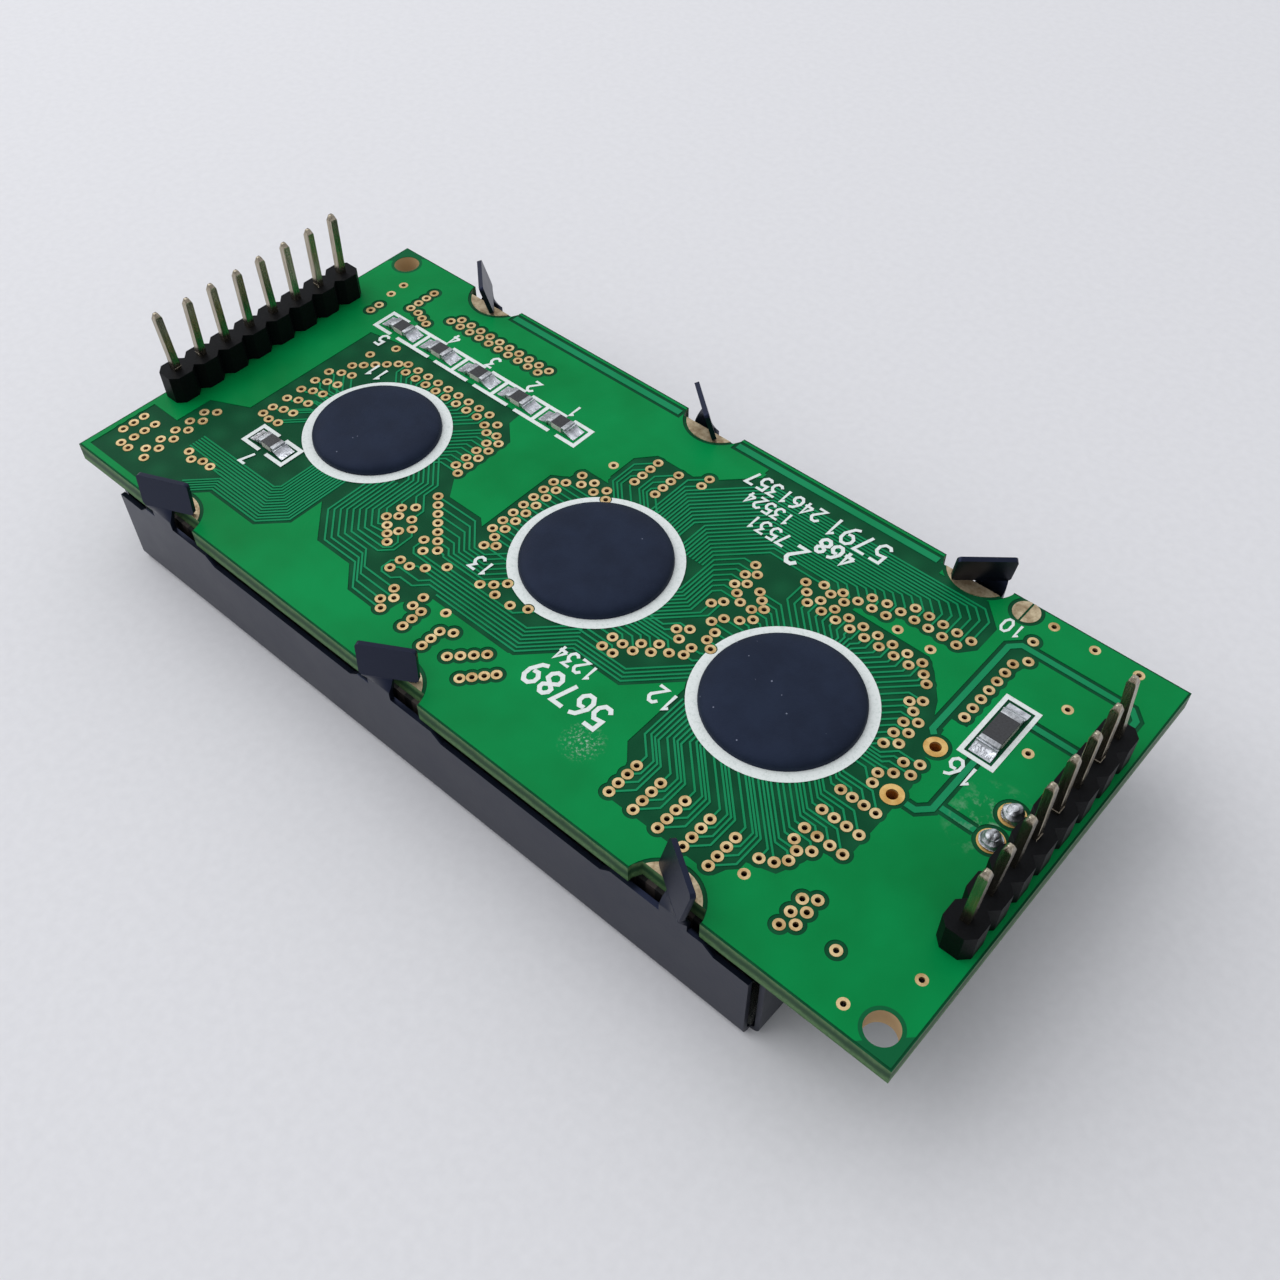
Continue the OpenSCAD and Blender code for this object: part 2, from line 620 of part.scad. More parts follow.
// Below the right of chip 2: [hole, level at the chip]
low_ends = [[[9.45, -1], -1.6], [[10.2, -1.6], -1.92], [[10.5, -3.05], -2.22],
            [[9.45, -2.9], -2.52], [[9.5, -3.85], -2.84], [[8.45, -3.7], -3.14],
            [[8.45, -4.55], -3.6], [[7.5, -4.6], -3.95], [[6.5, -4.6], -4.55],
            [[7.5, -5.7], -5.2], [[6.5, -5.7], -5.65]];
module low_fan() {
    for (r = low_ends) trace(dogleg([4, r[1]], r[0]));
    trace([[10.2, -0.4], [9.3, -0.4], [8.41, -1.29], [5.5, -1.29]]);
}

// Two columns of holes above chip 2
module column_pair() {
    for (column = [[-2.95, 3.05, 0.45], [-0.8, 5.9, 0.4]], k = [0:3])
        let (out = k < 3 ? 1.35 - 0.35 * k : 0,
             x = column[0] - out,
             y = 11.25 - 0.95 * k,
             c = column[1] + column[2] * k + (k < 3 ? 0 : 0.5))
        trace([[column[0], y], [x, y - out - 0.01], [x, c - x], [x + 2, c - x - 2]]);
}

// From chip 1 to the holes between chips 1 and 2. Conductor i runs straight
// down at hook_x, slants along hook_c and goes right at hook_y.
function hook_x(i) = -18.85 + 0.375 * i;
function hook_c(i) = -28.4 + 0.7 * i;
function hook_y(i) = -11.88 + 0.48 * i;
hook_ends = [
    [[-13, -11.88], [-11.18, -13.7], [-8.1, -13.75]],
    [[-13.13, -11.4], [-11.48, -13.05], [-8.8, -13.1]],
    [[-13.26, -10.92], [-11.79, -12.39], [-8.1, -12.42]],
    [[-13.4, -10.44], [-12.11, -11.73], [-8.8, -11.75]],
    [[-12.6, -9.96], [-11.75, -9.11], [-11.75, -7.3], [-12.3, -6.75]],
    [[-12.55, -9.48], [-12.1, -9.03], [-12.1, -8.4], [-12.95, -7.55]],
    [[-12.75, -8.9]],
    [[-13.43, -8.3]],
    [[-14.1, -7.72]]
];
module hook_fan() {
    for (i = [0:8])
        let (x = hook_x(i), c = hook_c(i), y = hook_y(i),
             top = i < 6 ? -4 : -3.2 + 0.175 * (i - 6))
        trace(concat(i < 6 ? [] : [[x - 2.5, top + 2.5]], [[x, top], [x, c - x], [c - y, y]],
                     hook_ends[i]));
    trace([[-18, -0.15], [-15.48, -2.67], [-15.48, -6.47], [-14.85, -7.1]]);
    trace([[-17.6, 0], [-15.1, -2.5], [-15.1, -5.25], [-14.65, -5.7]]);
    trace([[-17.2, 0.15], [-14.7, -2.35], [-14.7, -4.1], [-13.85, -4.95]]);
    trace([[-16.8, 0.3], [-14.35, -2.15], [-14.35, -3.6], [-13.1, -4.85], [-13.1, -6.05]]);
}

// From the slanting row of holes between chips 1 and 2 to the left of chip 2
module slant_fan() {
    for (k = [0:6])
        let (p = [-13.45 + 0.71 * k, -2.95 - 0.675 * k],
             c = -12.25 - 0.55 * k,
             y = -4.95 - 0.37 * k,
             x = -6.2 + 0.35 * k)
        trace([p, [c - p[1], p[1]], [c - y, y], [x, y], [x + 2.6, y + 2.6]]);
}

// Along the lower middle: i levels up from the lowest, from a hole on the left
lower_path = [[-6, -10.14], [2.15, -10.14], [5.09, -7.2], [9.6, -7.2], [13.4, -3.4]];
lower_starts = [
    [],
    [[-10.6, -9.5], [-11.1, -10], [-11.1, -10.9], [-10.8, -11.2], [-9.8, -11.2],
     [-9.3, -10.7], [-8, -10.7]],
    [[-10.6, -10.55], [-10.1, -10.05], [-8, -10.05]],
    [[-9.55, -9.5], [-9.14, -9.1]],
    [[-8.55, -8.8]],
    [[-10.8, -6.9], [-10.8, -7.95], [-10.36, -8.39]],
    [[-10, -7.8], [-9.75, -8.04]]
];
module lower_fan() {
    for (i = [1:6])
        let (full = side_route(lower_path, 0.35 * i), n = i < 4 ? 4 : 2,
             lead = lower_starts[i], last = lead[len(lead) - 1],
             y = full[0][1], d = abs(y - last[1]))
        trace(concat(lead, d < 0.05 ? [] : [[last[0] + d, y]], [for (k = [1:n]) full[k]]));
    trace([[-6, -10.14], [2.15, -10.14], [5.09, -7.2], [9.6, -7.2], [13.4, -3.4]]);
    trace([[-7.4, -7.7], [-0.5, -7.69], [2, -5.19]]);
}

// Below chip 1, to the left
module left_fan() {
    for (i = [0:12])
        let (x = -20.25 - 0.28 * i, y = -14.1 + 0.28 * i, c = -32.5 - 0.41 * i + 0.28 * i)
        trace([[x, -5.5], [x, y + 1.85 - 0.12 * i], [x - 1.85 + 0.12 * i, y],
               i < 5 ? [-27.5 - 0.12 * i, y] : i < 7 ? [-28.6, y] : [-31.6, y],
               i < 5 ? [-29.6 - 0.12 * i, y - 2.1] : i < 7 ? [-29.7, -12.65] : [-33, y]]);
}

module fine_traces() {
    column_fan();
    right_fan();
    upper_fan();
    wrap_fan();
    low_fan();
    column_pair();
    hook_fan();
    slant_fan();
    lower_fan();
    left_fan();
    // round chip 3
    top_fan(2, row_points([14.35, 8, 1.27, 0, 9]), 7.65, 0.5);
    top_fan(2, row_points([15, 7.2, 1.27, 0, 9]), 7.65, 0.5);
    top_fan(2, [[13.7, 8.75], [25.8, 6.6]], 7.65, 0.5);
    side_fan(2, row_points([26.45, 5.2, 0, -1.17, 5]), 8, 0.6, 0.3);
    side_fan(2, row_points([27.25, 3.45, 0, -1.15, 3]), 8, 0.6, 0.3);
    side_fan(2, [[25.75, 4.6]], 6.3, 0.6);
    side_fan(2, [[29.3, 0.65], [28.35, 0.1], [29.3, -0.45], [28.35, -1.05]], 8.4, 0.5);
    side_fan(2, [[27.55, -1.7], [27.75, -2.6]], 8.2, 0.5);
    side_fan(2, [[11.75, 5.75], [12.4, 5.17], [13.05, 4.59], [12.35, 4], [13.05, 3.3]], 5.5, 0.6);
    side_fan(2, [[12.37, 2.6], [11.4, 2], [10.9, 1.2], [11.75, 0.55], [11.75, -0.35]], 6, 0.8);
    side_fan(2, [[11.4, -1.65], [11.4, -2.5]], 7, 0.8);
    // left of chip 2
    side_fan(1, row_points([-6.95, 4.75, 0, -1.13, 9]), 7, 1);
    side_fan(1, row_points([-7.75, 4.18, 0, -1.13, 7]), 7, 1);
    // round chip 1
    side_fan(0, row_points([-29.85, 2.3, 0, -1.6, 6]), 7, 0.5);
    side_fan(0, row_points([-30.8, 1.95, 0, -1.57, 6]), 7.6, 0.5);
    side_fan(0, row_points([-31.7, 1.35, 0, -1.51, 5]), 8.2, 0.5);
    top_fan(0, row_points([-27.2, 6.45, 1.24, 0, 9]), 6.1, 0.55);
    top_fan(0, row_points([-26.6, 5.6, 1.24, 0, 8]), 6.1, 0.55);
    side_fan(0, row_points([-15, 5, 0, -1.14, 5]), 6.6, 0.55);
    side_fan(0, row_points([-14.2, 4.45, 0, -1.14, 5]), 6.6, 0.55);
    for (p = wide_routes) trace(p, wide_w);
    for (end = [-1, 0]) edge_run(end);
}

// A plated hole; where a lead is soldered it has a ring under the board too
module plated(p, bore, ring, under = false) {
    translate([p[0], p[1], 0]) {
        tube(bore / 2 + plating_t, bore / 2, under_z, board_z);
        tube(ring / 2, bore / 2, board_z, top_z);
        if (under) tube(ring / 2, bore / 2, under_z - copper_t, under_z);
    }
}

module via_barrels() {
    color([0.91, 0.77, 0.50]) {
        for (p = vias) plated(p, via_bore, via_ring, $fn = 20);
        for (p = single_vias) plated(p, via_bore, via_ring, $fn = 20);
    }
}

module plated_holes() {
    color([0.88, 0.72, 0.38]) {
        for (p = spare_holes) plated(p, spare_bore, spare_ring);
        for (p = header_points) plated(p, bore_d, header_ring, true);
        for (p = lead_points) plated(p, lead_bore, lead_ring, true);
    }
}

module ground_lands() {
    color([0.78, 0.71, 0.56]) translate([0, 0, board_z])
        linear_extrude(copper_t) intersection() {
            board_outline();
            land_circle(land_r);
        }
}

module jumper_lands() {
    color([0.80, 0.70, 0.54]) translate([jumper[0], jumper[1], board_z])
        linear_extrude(copper_t) difference() {
            circle(r = jumper_r);
            square([jumper_slit, 3 * jumper_r], center = true);
        }
}

// ---- White print ------------------------------------------------------------

// A frame round a resistor, open in the middle of its long sides
module print_frame(l, w) {
    gap = 0.8;
    difference() {
        square([l, w], center = true);
        square([l - 2 * print_w, w - 2 * print_w], center = true);
        square([gap, w + 1], center = true);
    }
}

// Whether the hole at p cuts into the ring round a chip
function in_ring(p) =
    max([for (g = globs) norm(p - [g[0], g[1]]) < g[2] + ring_w + via_ring ? 1 : 0]) > 0;

module silkscreen() {
    color([0.92, 0.95, 0.93]) translate([0, 0, top_z])
        linear_extrude(print_t) {
            difference() {
                for (g = globs) translate([g[0], g[1]]) difference() {
                    circle(r = g[2] + ring_w, $fn = 96);
                    circle(r = g[2], $fn = 96);
                }
                dots([for (p = vias) if (in_ring(p)) p], via_ring / 2 + 0.08);
            }
            for (r = resistors) translate([r[0], r[1]])
                print_frame(resistor_pitch + print_w, chip_w + 1.3);
            translate([feedback[0], feedback[1]]) print_frame(5.05, 2.45);
            translate([large[0], large[1]]) rotate(90) difference() {
                square([6.3, 2.85], center = true);
                square([6.3 - 2 * print_w, 2.85 - 2 * print_w], center = true);
            }
        }
}

// ---- Bezel ------------------------------------------------------------------

// Quarter bend and wall as a profile: Y outwards from the bend line, Z up
module wall_profile(h) {
    intersection() {
        difference() {
            circle(r = bend_r);
            circle(r = bend_r - sheet_t);
        }
        translate([0, -bend_r]) square(bend_r);
    }
    translate([bend_r - sheet_t, 0]) square([sheet_t, h - bend_r]);
}

// A wall of length l along X, with its outer face at distance d from the centre
module wall(l, d, h) {
    translate([-l / 2, d - bend_r, bend_r]) rotate([90, 0, 90])
        linear_extrude(l) wall_profile(h);
}

// The raised shoulders of a long wall, seen from outside
module shoulders(s) {
    base = tab_z - wall_drop;
    for (end = [-1, 0, 1])
        let (wing = end == 1 ? -1 : 1,
             a = wing * shoulder_wing,
             b = -wing * shoulder_back,
             k = wing * shoulder_slope)
        translate([end * tab_pitch, s * (bezel_w / 2 - sheet_t / 2), 0]) rotate([90, 0, 0])
            linear_extrude(sheet_t, center = true)
                polygon([[b - k, base - sheet_t], [b - k, base], [b, tab_z], [a, tab_z],
                         [a + k, base], [a + k, base - sheet_t]]);
}

// Rounded plate, standing on its lower edge
module head_plate(x0, x1, h) {
    rotate([90, 0, 0]) linear_extrude(tab_t, center = true) {
        translate([x0 + head_r, 0]) square([x1 - x0 - 2 * head_r, h]);
        translate([x0, head_r]) square([x1 - x0, h - 2 * head_r]);
        for (x = [x0 + head_r, x1 - head_r], z = [head_r, h - head_r])
            translate([x, z]) circle(r = head_r, $fn = 24);
    }
}

// Stem, twisted neck and leaning head of one tab; inwards is +Y
module tab(wing, twist, lean) {
    translate([-stem_w / 2, -tab_t / 2, -sheet_t]) cube([stem_w, tab_t, sheet_t + stem_h]);
    translate([0, 0, stem_h])
        linear_extrude(neck_h, twist = -wing * twist, slices = 6, segments = 8)
            square([stem_w, tab_t], center = true);
    translate([0, 0, stem_h + neck_h]) rotate(wing * twist) {
        translate([-stem_w / 2, -tab_t / 2, 0]) cube([stem_w, tab_t, root_h]);
        mirror([wing < 0 ? 1 : 0, 0, 0]) translate([0, 0, root_h / 2]) rotate([-lean, 0, 0])
            head_plate(-head_back, head_l - head_back, head_h);
    }
}

module bezel() {
    long_l = bezel_l - 2 * (sheet_t + corner_slit);
    end_l = bezel_w - 2 * (sheet_t + corner_slit);
    color([0.20, 0.21, 0.25]) at_display() {
        difference() {
            union() {
                plate(bezel_l - 2 * bend_r, end_l, 0, sheet_t);
                plate(long_l, bezel_w - 2 * bend_r, 0, sheet_t);
            }
            plate(window_l, window_w, -e, sheet_t + e);
        }
        for (s = [-1, 1]) mirror([0, s < 0 ? 1 : 0, 0]) wall(long_l, bezel_w / 2, tab_z - wall_drop);
        wall_ends(end_l);
        for (s = [-1, 1]) shoulders(s);
        for (t = tabs)
            let (wing = t[0] == 1 ? -1 : 1)
            mirror([0, t[1] > 0 ? 1 : 0, 0])
                translate([t[0] * tab_pitch - wing * tab_offset, -bezel_w / 2 + tab_t / 2, tab_z])
                    tab(wing, t[2], t[3]);
    }
}

// The two end walls; the right one is cut out round the backlight's tongue
module wall_ends(l) {
    rotate(90) wall(l, bezel_l / 2, tab_z - wall_drop);
    difference() {
        rotate(-90) wall(l, bezel_l / 2, tab_z - wall_drop);
        translate([bezel_l / 2 - 2 * bend_r, -tongue_w / 2 - 0.3, floor_z - 0.3])
            cube([3 * bend_r, tongue_w + 0.6, bezel_depth]);
    }
}

// ---- Display cell -----------------------------------------------------------

module front_polarizer() {
    color([0.50, 0.56, 0.40]) at_display()
        plate(window_l + 2 * polarizer_lap, window_w + 2 * polarizer_lap,
              front_polarizer_z, front_glass_z);
}

module front_glass() {
    color([0.70, 0.80, 0.70]) at_display() plate(cell_l, cell_w, front_glass_z, seal_z);
}

module cell_seal() {
    color([0.75, 0.74, 0.68]) at_display() difference() {
        plate(cell_l - 1, rear_cell_w, seal_z, rear_glass_z);
        plate(cell_l - 1 - 2 * seal_w, rear_cell_w - 2 * seal_w, seal_z - e, rear_glass_z + e);
    }
}

module rear_glass() {
    color([0.68, 0.78, 0.68]) at_display() plate(cell_l, rear_cell_w, rear_glass_z, rear_polarizer_z);
}

module rear_polarizer() {
    color([0.48, 0.52, 0.38]) at_display()
        plate(window_l + 2 * polarizer_lap, window_w + 2 * polarizer_lap,
              rear_polarizer_z, diffuser_z);
}

// Rubber strip between the contact ledge of the glass and the board
module zebra(s) {
    color([0.83, 0.60, 0.66]) at_display()
        translate([0, s * (cell_w / 2 - ledge_w / 2), 0])
            plate(window_l + 2, zebra_t, seal_z, under_z);
}

module zebra_upper() { zebra(1); }
module zebra_lower() { zebra(-1); }

// ---- Backlight --------------------------------------------------------------

tongue_w = 5;
tongue_t = 1;
tongue_x = lead_x + display_shift - 2.4;

module diffuser() {
    color([0.95, 0.95, 0.92]) at_display() translate([guide_x, 0, 0])
        plate(guide_l - 2 * film_clear, guide_w - 2 * film_clear, diffuser_z, guide_z);
}

module light_guide() {
    color([0.85, 0.92, 0.90]) at_display() translate([guide_x, 0, 0])
        plate(guide_l, guide_w, guide_z, reflector_z);
}

module reflector() {
    color([0.93, 0.94, 0.95]) at_display() translate([guide_x, 0, 0])
        plate(guide_l, guide_w, reflector_z, floor_z);
}

// White tray with a skirt down to the board and a tongue for the leads
module backlight_frame() {
    color([0.94, 0.94, 0.90]) difference() {
        at_display() difference() {
            union() {
                plate(frame_l, frame_w, guide_z, under_z);
                translate([0, -tongue_w / 2, floor_z]) cube([tongue_x, tongue_w, tongue_t]);
            }
            plate(frame_l - 2 * frame_t, guide_w, guide_z - e, floor_z);
            difference() {
                plate(frame_l - 2 * frame_t, guide_w, floor_z + frame_t, under_z + e);
                plate(frame_t, guide_w, floor_z, under_z);
            }
        }
        for (s = [-1, 1]) lead_path(s, 0);
    }
}

module led_strip() {
    color([0.90, 0.90, 0.84]) at_display()
        translate([frame_l / 2 - frame_t - strip_t / 2, 0, 0])
            plate(strip_t, guide_w - 2, guide_z, floor_z);
}

module leds() {
    depth = led_room - strip_t;
    middle = (guide_z + floor_z) / 2;
    color([0.95, 0.93, 0.60]) at_display() for (i = [0:led_count - 1])
        translate([frame_l / 2 - frame_t - strip_t - depth / 2,
                   (i - (led_count - 1) / 2) * led_pitch, 0])
            plate(depth, led_l, middle - led_h / 2, middle + led_h / 2);
}

// Lead from the lamp strip along the tongue, up through the board
module lead_path(s, up) {
    y = s * lead_pitch / 2;
    x = lead_x;
    x0 = frame_l / 2 - frame_t - display_shift;
    zl = floor_z + tongue_t / 2 - lead_w / 2;
    translate([x0, y - lead_w / 2, zl]) cube([x - x0 + lead_w / 2, lead_w, lead_w]);
    translate([x - lead_w / 2, y - lead_w / 2, zl]) cube([lead_w, lead_w, board_z + up - zl]);
}

module backlight_leads() {
    color([0.80, 0.80, 0.82]) for (s = [-1, 1]) lead_path(s, lead_above);
}

module backlight_solder() {
    r = lead_ring / 2;
    h = 0.95;
    color([0.78, 0.79, 0.80]) difference() {
        for (p = lead_points) translate([p[0], p[1], top_z])
            rotate_extrude($fn = 32) polygon([[0, 0], [r, 0], [0.9 * r, 0.45 * h], [0.62 * r, 0.82 * h],
                                              [0.3 * r, 0.97 * h], [0, h]]);
        backlight_leads();
    }
}

// ---- Chips ------------------------------------------------------------------

// Half section of an epoxy blob: a steep edge that flattens to a low crown
function blob_profile(r, h, n = 12) = concat(
    [[0, 0]],
    [for (i = [0:n]) let (a = 90 * i / n) [r * pow(cos(a), 0.38), h * pow(sin(a), 0.6)]]
);

module glob(i) {
    g = globs[i];
    color([0.12, 0.14, 0.19]) translate([g[0], g[1], top_z]) difference() {
        rotate_extrude($fn = 72) polygon(blob_profile(g[2], glob_h));
        translate([-die_w / 2, -die_w / 2, -e]) cube([die_w, die_w, die_t + e]);
    }
}

module die(i) {
    color([0.35, 0.36, 0.40]) translate([globs[i][0], globs[i][1], 0])
        plate(die_w, die_w, top_z, top_z + die_t);
}

// ---- Resistors --------------------------------------------------------------

function r_len(r) = r[3] == 1 ? large_l : chip_l;
function r_wid(r) = r[3] == 1 ? large_w : chip_w;
function r_land(r) = r[3] == 1 ? large_land : small_land;
function r_bottom(r) = r[3] == 1 ? board_z : top_z;
all_resistors = concat(resistors, [feedback, large]);

module at_resistor(r) {
    translate([r[0], r[1], r_bottom(r)]) rotate(r[2]) children();
}

module resistor(r) {
    l = r_len(r) - 2 * cap_l;
    color([0.10, 0.10, 0.12]) at_resistor(r)
        translate([-l / 2, -r_wid(r) / 2, 0]) cube([l, r_wid(r), chip_h]);
}

module resistor_caps() {
    color([0.75, 0.76, 0.78]) for (r = all_resistors) at_resistor(r) for (s = [-1, 1])
        translate([s * (r_len(r) - cap_l) / 2, 0, 0])
            translate([-cap_l / 2, -r_wid(r) / 2, 0]) cube([cap_l, r_wid(r), chip_h + 0.02]);
}

// Concave fillet from a land up to the end cap
module fillet(run, rise, w) {
    rotate([90, 0, 0]) linear_extrude(w, center = true) difference() {
        square([run, rise]);
        translate([run, rise]) scale([run / rise, 1]) circle(r = rise - 0.06, $fn = 40);
    }
}

module resistor_solder() {
    color([0.80, 0.81, 0.82]) for (r = all_resistors) at_resistor(r) for (s = [0, 180])
        rotate(s) translate([r_len(r) / 2, 0, 0])
            fillet(r_land(r) - r_len(r) / 2, 0.8 * chip_h, r_wid(r) + 0.1);
}

// ---- Headers ----------------------------------------------------------------

// Plastic body: one block a pin, with cut corners between them
module header_body(x) {
    c = header_cut;
    half = pin_pitch / 2;
    side = body_w / 2;
    edge = [for (i = [0:pin_count - 1]) let (y = header_y_of[i])
            each [[side - c, y - half], [side, y - half + c], [side, y + half - c],
                  [side - c, y + half]]];
    color([0.14, 0.15, 0.18]) translate([x, 0, top_z])
        linear_extrude(body_h) difference() {
            polygon(concat(edge, reversed([for (p = edge) [-p[0], p[1]]])));
            for (y = header_y_of) translate([0, y]) square(pin_w, center = true);
        }
}

// Square pin with chamfered ends; above the body it leans a little
module pin(x, i, lean) {
    y = header_y_of[i];
    color([0.72, 0.71, 0.66]) translate([x, y, 0]) {
        translate([-pin_w / 2, -pin_w / 2, pin_z]) cube([pin_w, pin_w, bend_z - pin_z]);
        translate([0, 0, bend_z]) rotate([lean[0], lean[1], 0]) {
            translate([-pin_w / 2, -pin_w / 2, -0.04])
                cube([pin_w, pin_w, tip_z - bend_z - tip_h + 0.04]);
            translate([0, 0, tip_z - bend_z - tip_h]) rotate(45)
                cylinder(r1 = pin_w / sqrt(2), r2 = pin_w / 3, h = tip_h, $fn = 4);
        }
    }
}

// Solder cone on the display side of each pin
module header_solder() {
    h = min(1, pin_below - 0.2);
    r = header_ring / 2;
    color([0.78, 0.79, 0.80]) difference() {
        for (p = header_points) translate([p[0], p[1], under_z - copper_t]) mirror([0, 0, 1])
            rotate_extrude($fn = 24) polygon([[0, 0], [r, 0], [0.62 * r, 0.3 * h],
                                              [0.47 * r, h], [0, h]]);
        for (p = header_points) translate([p[0] - pin_w / 2, p[1] - pin_w / 2, pin_z])
            cube([pin_w, pin_w, board_z - pin_z]);
    }
}

// ---- Nodes ------------------------------------------------------------------

pcb();
copper_pour();
copper_traces();
via_barrels();
plated_holes();
ground_lands();
jumper_lands();
silkscreen();
bezel();
front_polarizer();
front_glass();
cell_seal();
rear_glass();
rear_polarizer();
zebra_upper();
zebra_lower();
diffuser();
light_guide();
reflector();
backlight_frame();
led_strip();
leds();
backlight_leads();
backlight_solder();
for (i = [1:3]) glob(i - 1);
for (i = [1:3]) die(i - 1);
for (i = [1:5]) resistor(resistors[i - 1]);
resistor(feedback);  // resistor_f
resistor(large);  // resistor_6
resistor_caps();
resistor_solder();
header_body(left_x);  // header_body_left
header_body(right_x);  // header_body_right
header_solder();
for (i = [1:pin_count])
    pin(left_x, i - 1, left_lean[i - 1]);
for (i = [1:pin_count])
    pin(right_x, i - 1, right_lean[i - 1]);
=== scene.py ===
# %% [markdown]
# # The rear of a character display module
# The rigid part comes from the CAD pack and is never moved. This script adds
# what the eye needs: finishes, broken edges, the flow of epoxy and solder,
# plain numbers in the white print, soft light and a camera.

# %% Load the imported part
import json
import math

import bmesh
import bpy
from mathutils import Matrix, Vector, noise


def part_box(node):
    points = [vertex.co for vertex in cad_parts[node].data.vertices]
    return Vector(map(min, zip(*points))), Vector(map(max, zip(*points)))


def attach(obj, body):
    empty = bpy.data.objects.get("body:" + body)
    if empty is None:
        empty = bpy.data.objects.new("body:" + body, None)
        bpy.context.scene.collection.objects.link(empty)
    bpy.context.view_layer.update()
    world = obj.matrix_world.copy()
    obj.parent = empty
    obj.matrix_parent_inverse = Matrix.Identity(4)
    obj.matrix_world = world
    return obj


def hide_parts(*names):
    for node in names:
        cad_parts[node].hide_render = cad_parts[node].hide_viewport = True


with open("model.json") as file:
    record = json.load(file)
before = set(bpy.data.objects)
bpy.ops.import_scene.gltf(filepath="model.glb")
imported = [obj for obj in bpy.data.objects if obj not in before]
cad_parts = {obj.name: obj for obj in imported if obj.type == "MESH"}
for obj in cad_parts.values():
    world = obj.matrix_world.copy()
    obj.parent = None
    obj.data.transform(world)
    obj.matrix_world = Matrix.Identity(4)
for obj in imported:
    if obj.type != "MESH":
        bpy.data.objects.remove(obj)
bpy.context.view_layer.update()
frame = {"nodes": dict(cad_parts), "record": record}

MM = 0.001
nodes = frame["nodes"]

# the top of the copper, and one mounting hole: the other lies opposite it,
# turned half a round about the board's centre
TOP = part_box("copper_pour")[1].z
mounts = {mount["name"]: mount for mount in frame["record"]["mounts"]}
HOLE = Vector(mounts["hole_right"]["pos_m"])

# %% [markdown]
# The camera stands to the front right and looks down steeply, a hand's width
# away. So close, the near corner looks much larger than the far one, and a
# wide lens is needed to take in the whole board.

# %% Camera
CAMERA_PLACE = Vector((50.48, -50.62, 85.43)) * MM
CAMERA_LOOK = Vector((-0.4281, 0.4766, -0.7678))
CAMERA_ROLL = math.radians(-0.56)

camera_data = bpy.data.cameras.new("camera")
camera_data.sensor_width = 36
camera_data.lens = 38.9
camera_data.clip_start = 5 * MM
camera_data.clip_end = 20
camera = bpy.data.objects.new("camera", camera_data)
aim = CAMERA_LOOK.to_track_quat("-Z", "Y").to_matrix() @ Matrix.Rotation(CAMERA_ROLL, 3, "Z")
camera.matrix_world = Matrix.LocRotScale(CAMERA_PLACE, aim, None)
bpy.context.scene.collection.objects.link(camera)
bpy.context.scene.camera = camera
bpy.context.scene.view_settings.view_transform = "Standard"

# %% [markdown]
# A maker picks colours as sRGB hex codes, but a shader adds light, so it needs
# linear values. One function turns one into the other.

# %% Colour
def colour(code):
    parts = [int(code[i:i + 2], 16) / 255 for i in (1, 3, 5)]
    return (*[p / 12.92 if p <= 0.04045 else ((p + 0.055) / 1.055) ** 2.4 for p in parts], 1)


# %% [markdown]
# Every finish is a small graph of nodes. `add` makes one node, sets its
# properties and fills its sockets by name or number. A value that is itself a
# socket is linked, and anything else becomes the socket's setting.

# %% A node with its settings and links
def add(tree, kind, sockets, **settings):
    node = tree.nodes.new(kind)
    for name, value in settings.items():
        setattr(node, name, value)
    for name, value in sockets.items():
        if isinstance(value, bpy.types.NodeSocket):
            tree.links.new(value, node.inputs[name])
        else:
            node.inputs[name].default_value = value
    return node


# %% [markdown]
# The finishes below are written in a few words, each of which adds one node:
# a `cloud` of noise, `bands`, a `span` of values, the `shades` between two
# colours, a `blend` of two and sums by `maths` and `vectors`. Patterns are
# given by their real size in millimetres. Two more words find places on the
# part: `from_axis` measures from an upright axis, and `facing` tells up from down.

# %% Words for patterns
RADIANS_PER_UNIT = 20       # how far a wave texture turns over one unit of its scale
STEEP = 0.5                 # a face that looks up or down less than this stands upright


def every(mm):
    """The scale of a pattern that repeats about every so many millimetres."""
    return 1 / (mm * MM)


def cloud(tree, place, mm, detail=2.0, roughness=0.5):
    return add(tree, "ShaderNodeTexNoise",
               {"Vector": place, "Scale": every(mm), "Detail": detail,
                "Roughness": roughness}).outputs["Fac"]


def bands(tree, place, radian_mm, axis, distortion, detail=2.0, detail_scale=1.0):
    """Waves along an axis, each 6.28 times as long as the radian that is given."""
    return add(tree, "ShaderNodeTexWave",
               {"Vector": place, "Scale": every(radian_mm) / RADIANS_PER_UNIT,
                "Distortion": distortion, "Detail": detail, "Detail Scale": detail_scale},
               wave_type="BANDS", bands_direction=axis).outputs["Fac"]


def span(tree, value, low, high, at_low=0.0, at_high=1.0):
    """Maps values from low to high onto another span, and holds them at its ends."""
    return add(tree, "ShaderNodeMapRange",
               {"Value": value, "From Min": low, "From Max": high,
                "To Min": at_low, "To Max": at_high}).outputs["Result"]


def shades(tree, value, low, dark, high, light):
    """A colour that runs from dark, up to the low value, to light from the high one."""
    ramp = add(tree, "ShaderNodeValToRGB", {"Fac": value})
    for stop, position, code in zip(ramp.color_ramp.elements, (low, high), (dark, light)):
        stop.position = position
        stop.color = colour(code)
    return ramp.outputs["Color"]


def blend(tree, factor, under, over):
    """The colour under where the factor is 0, and over where it is 1."""
    return add(tree, "ShaderNodeMix", {"Factor": factor, 6: under, 7: over},
               data_type="RGBA").outputs[2]


def maths(tree, operation, *values):
    return add(tree, "ShaderNodeMath", dict(enumerate(values)),
               operation=operation).outputs["Value"]


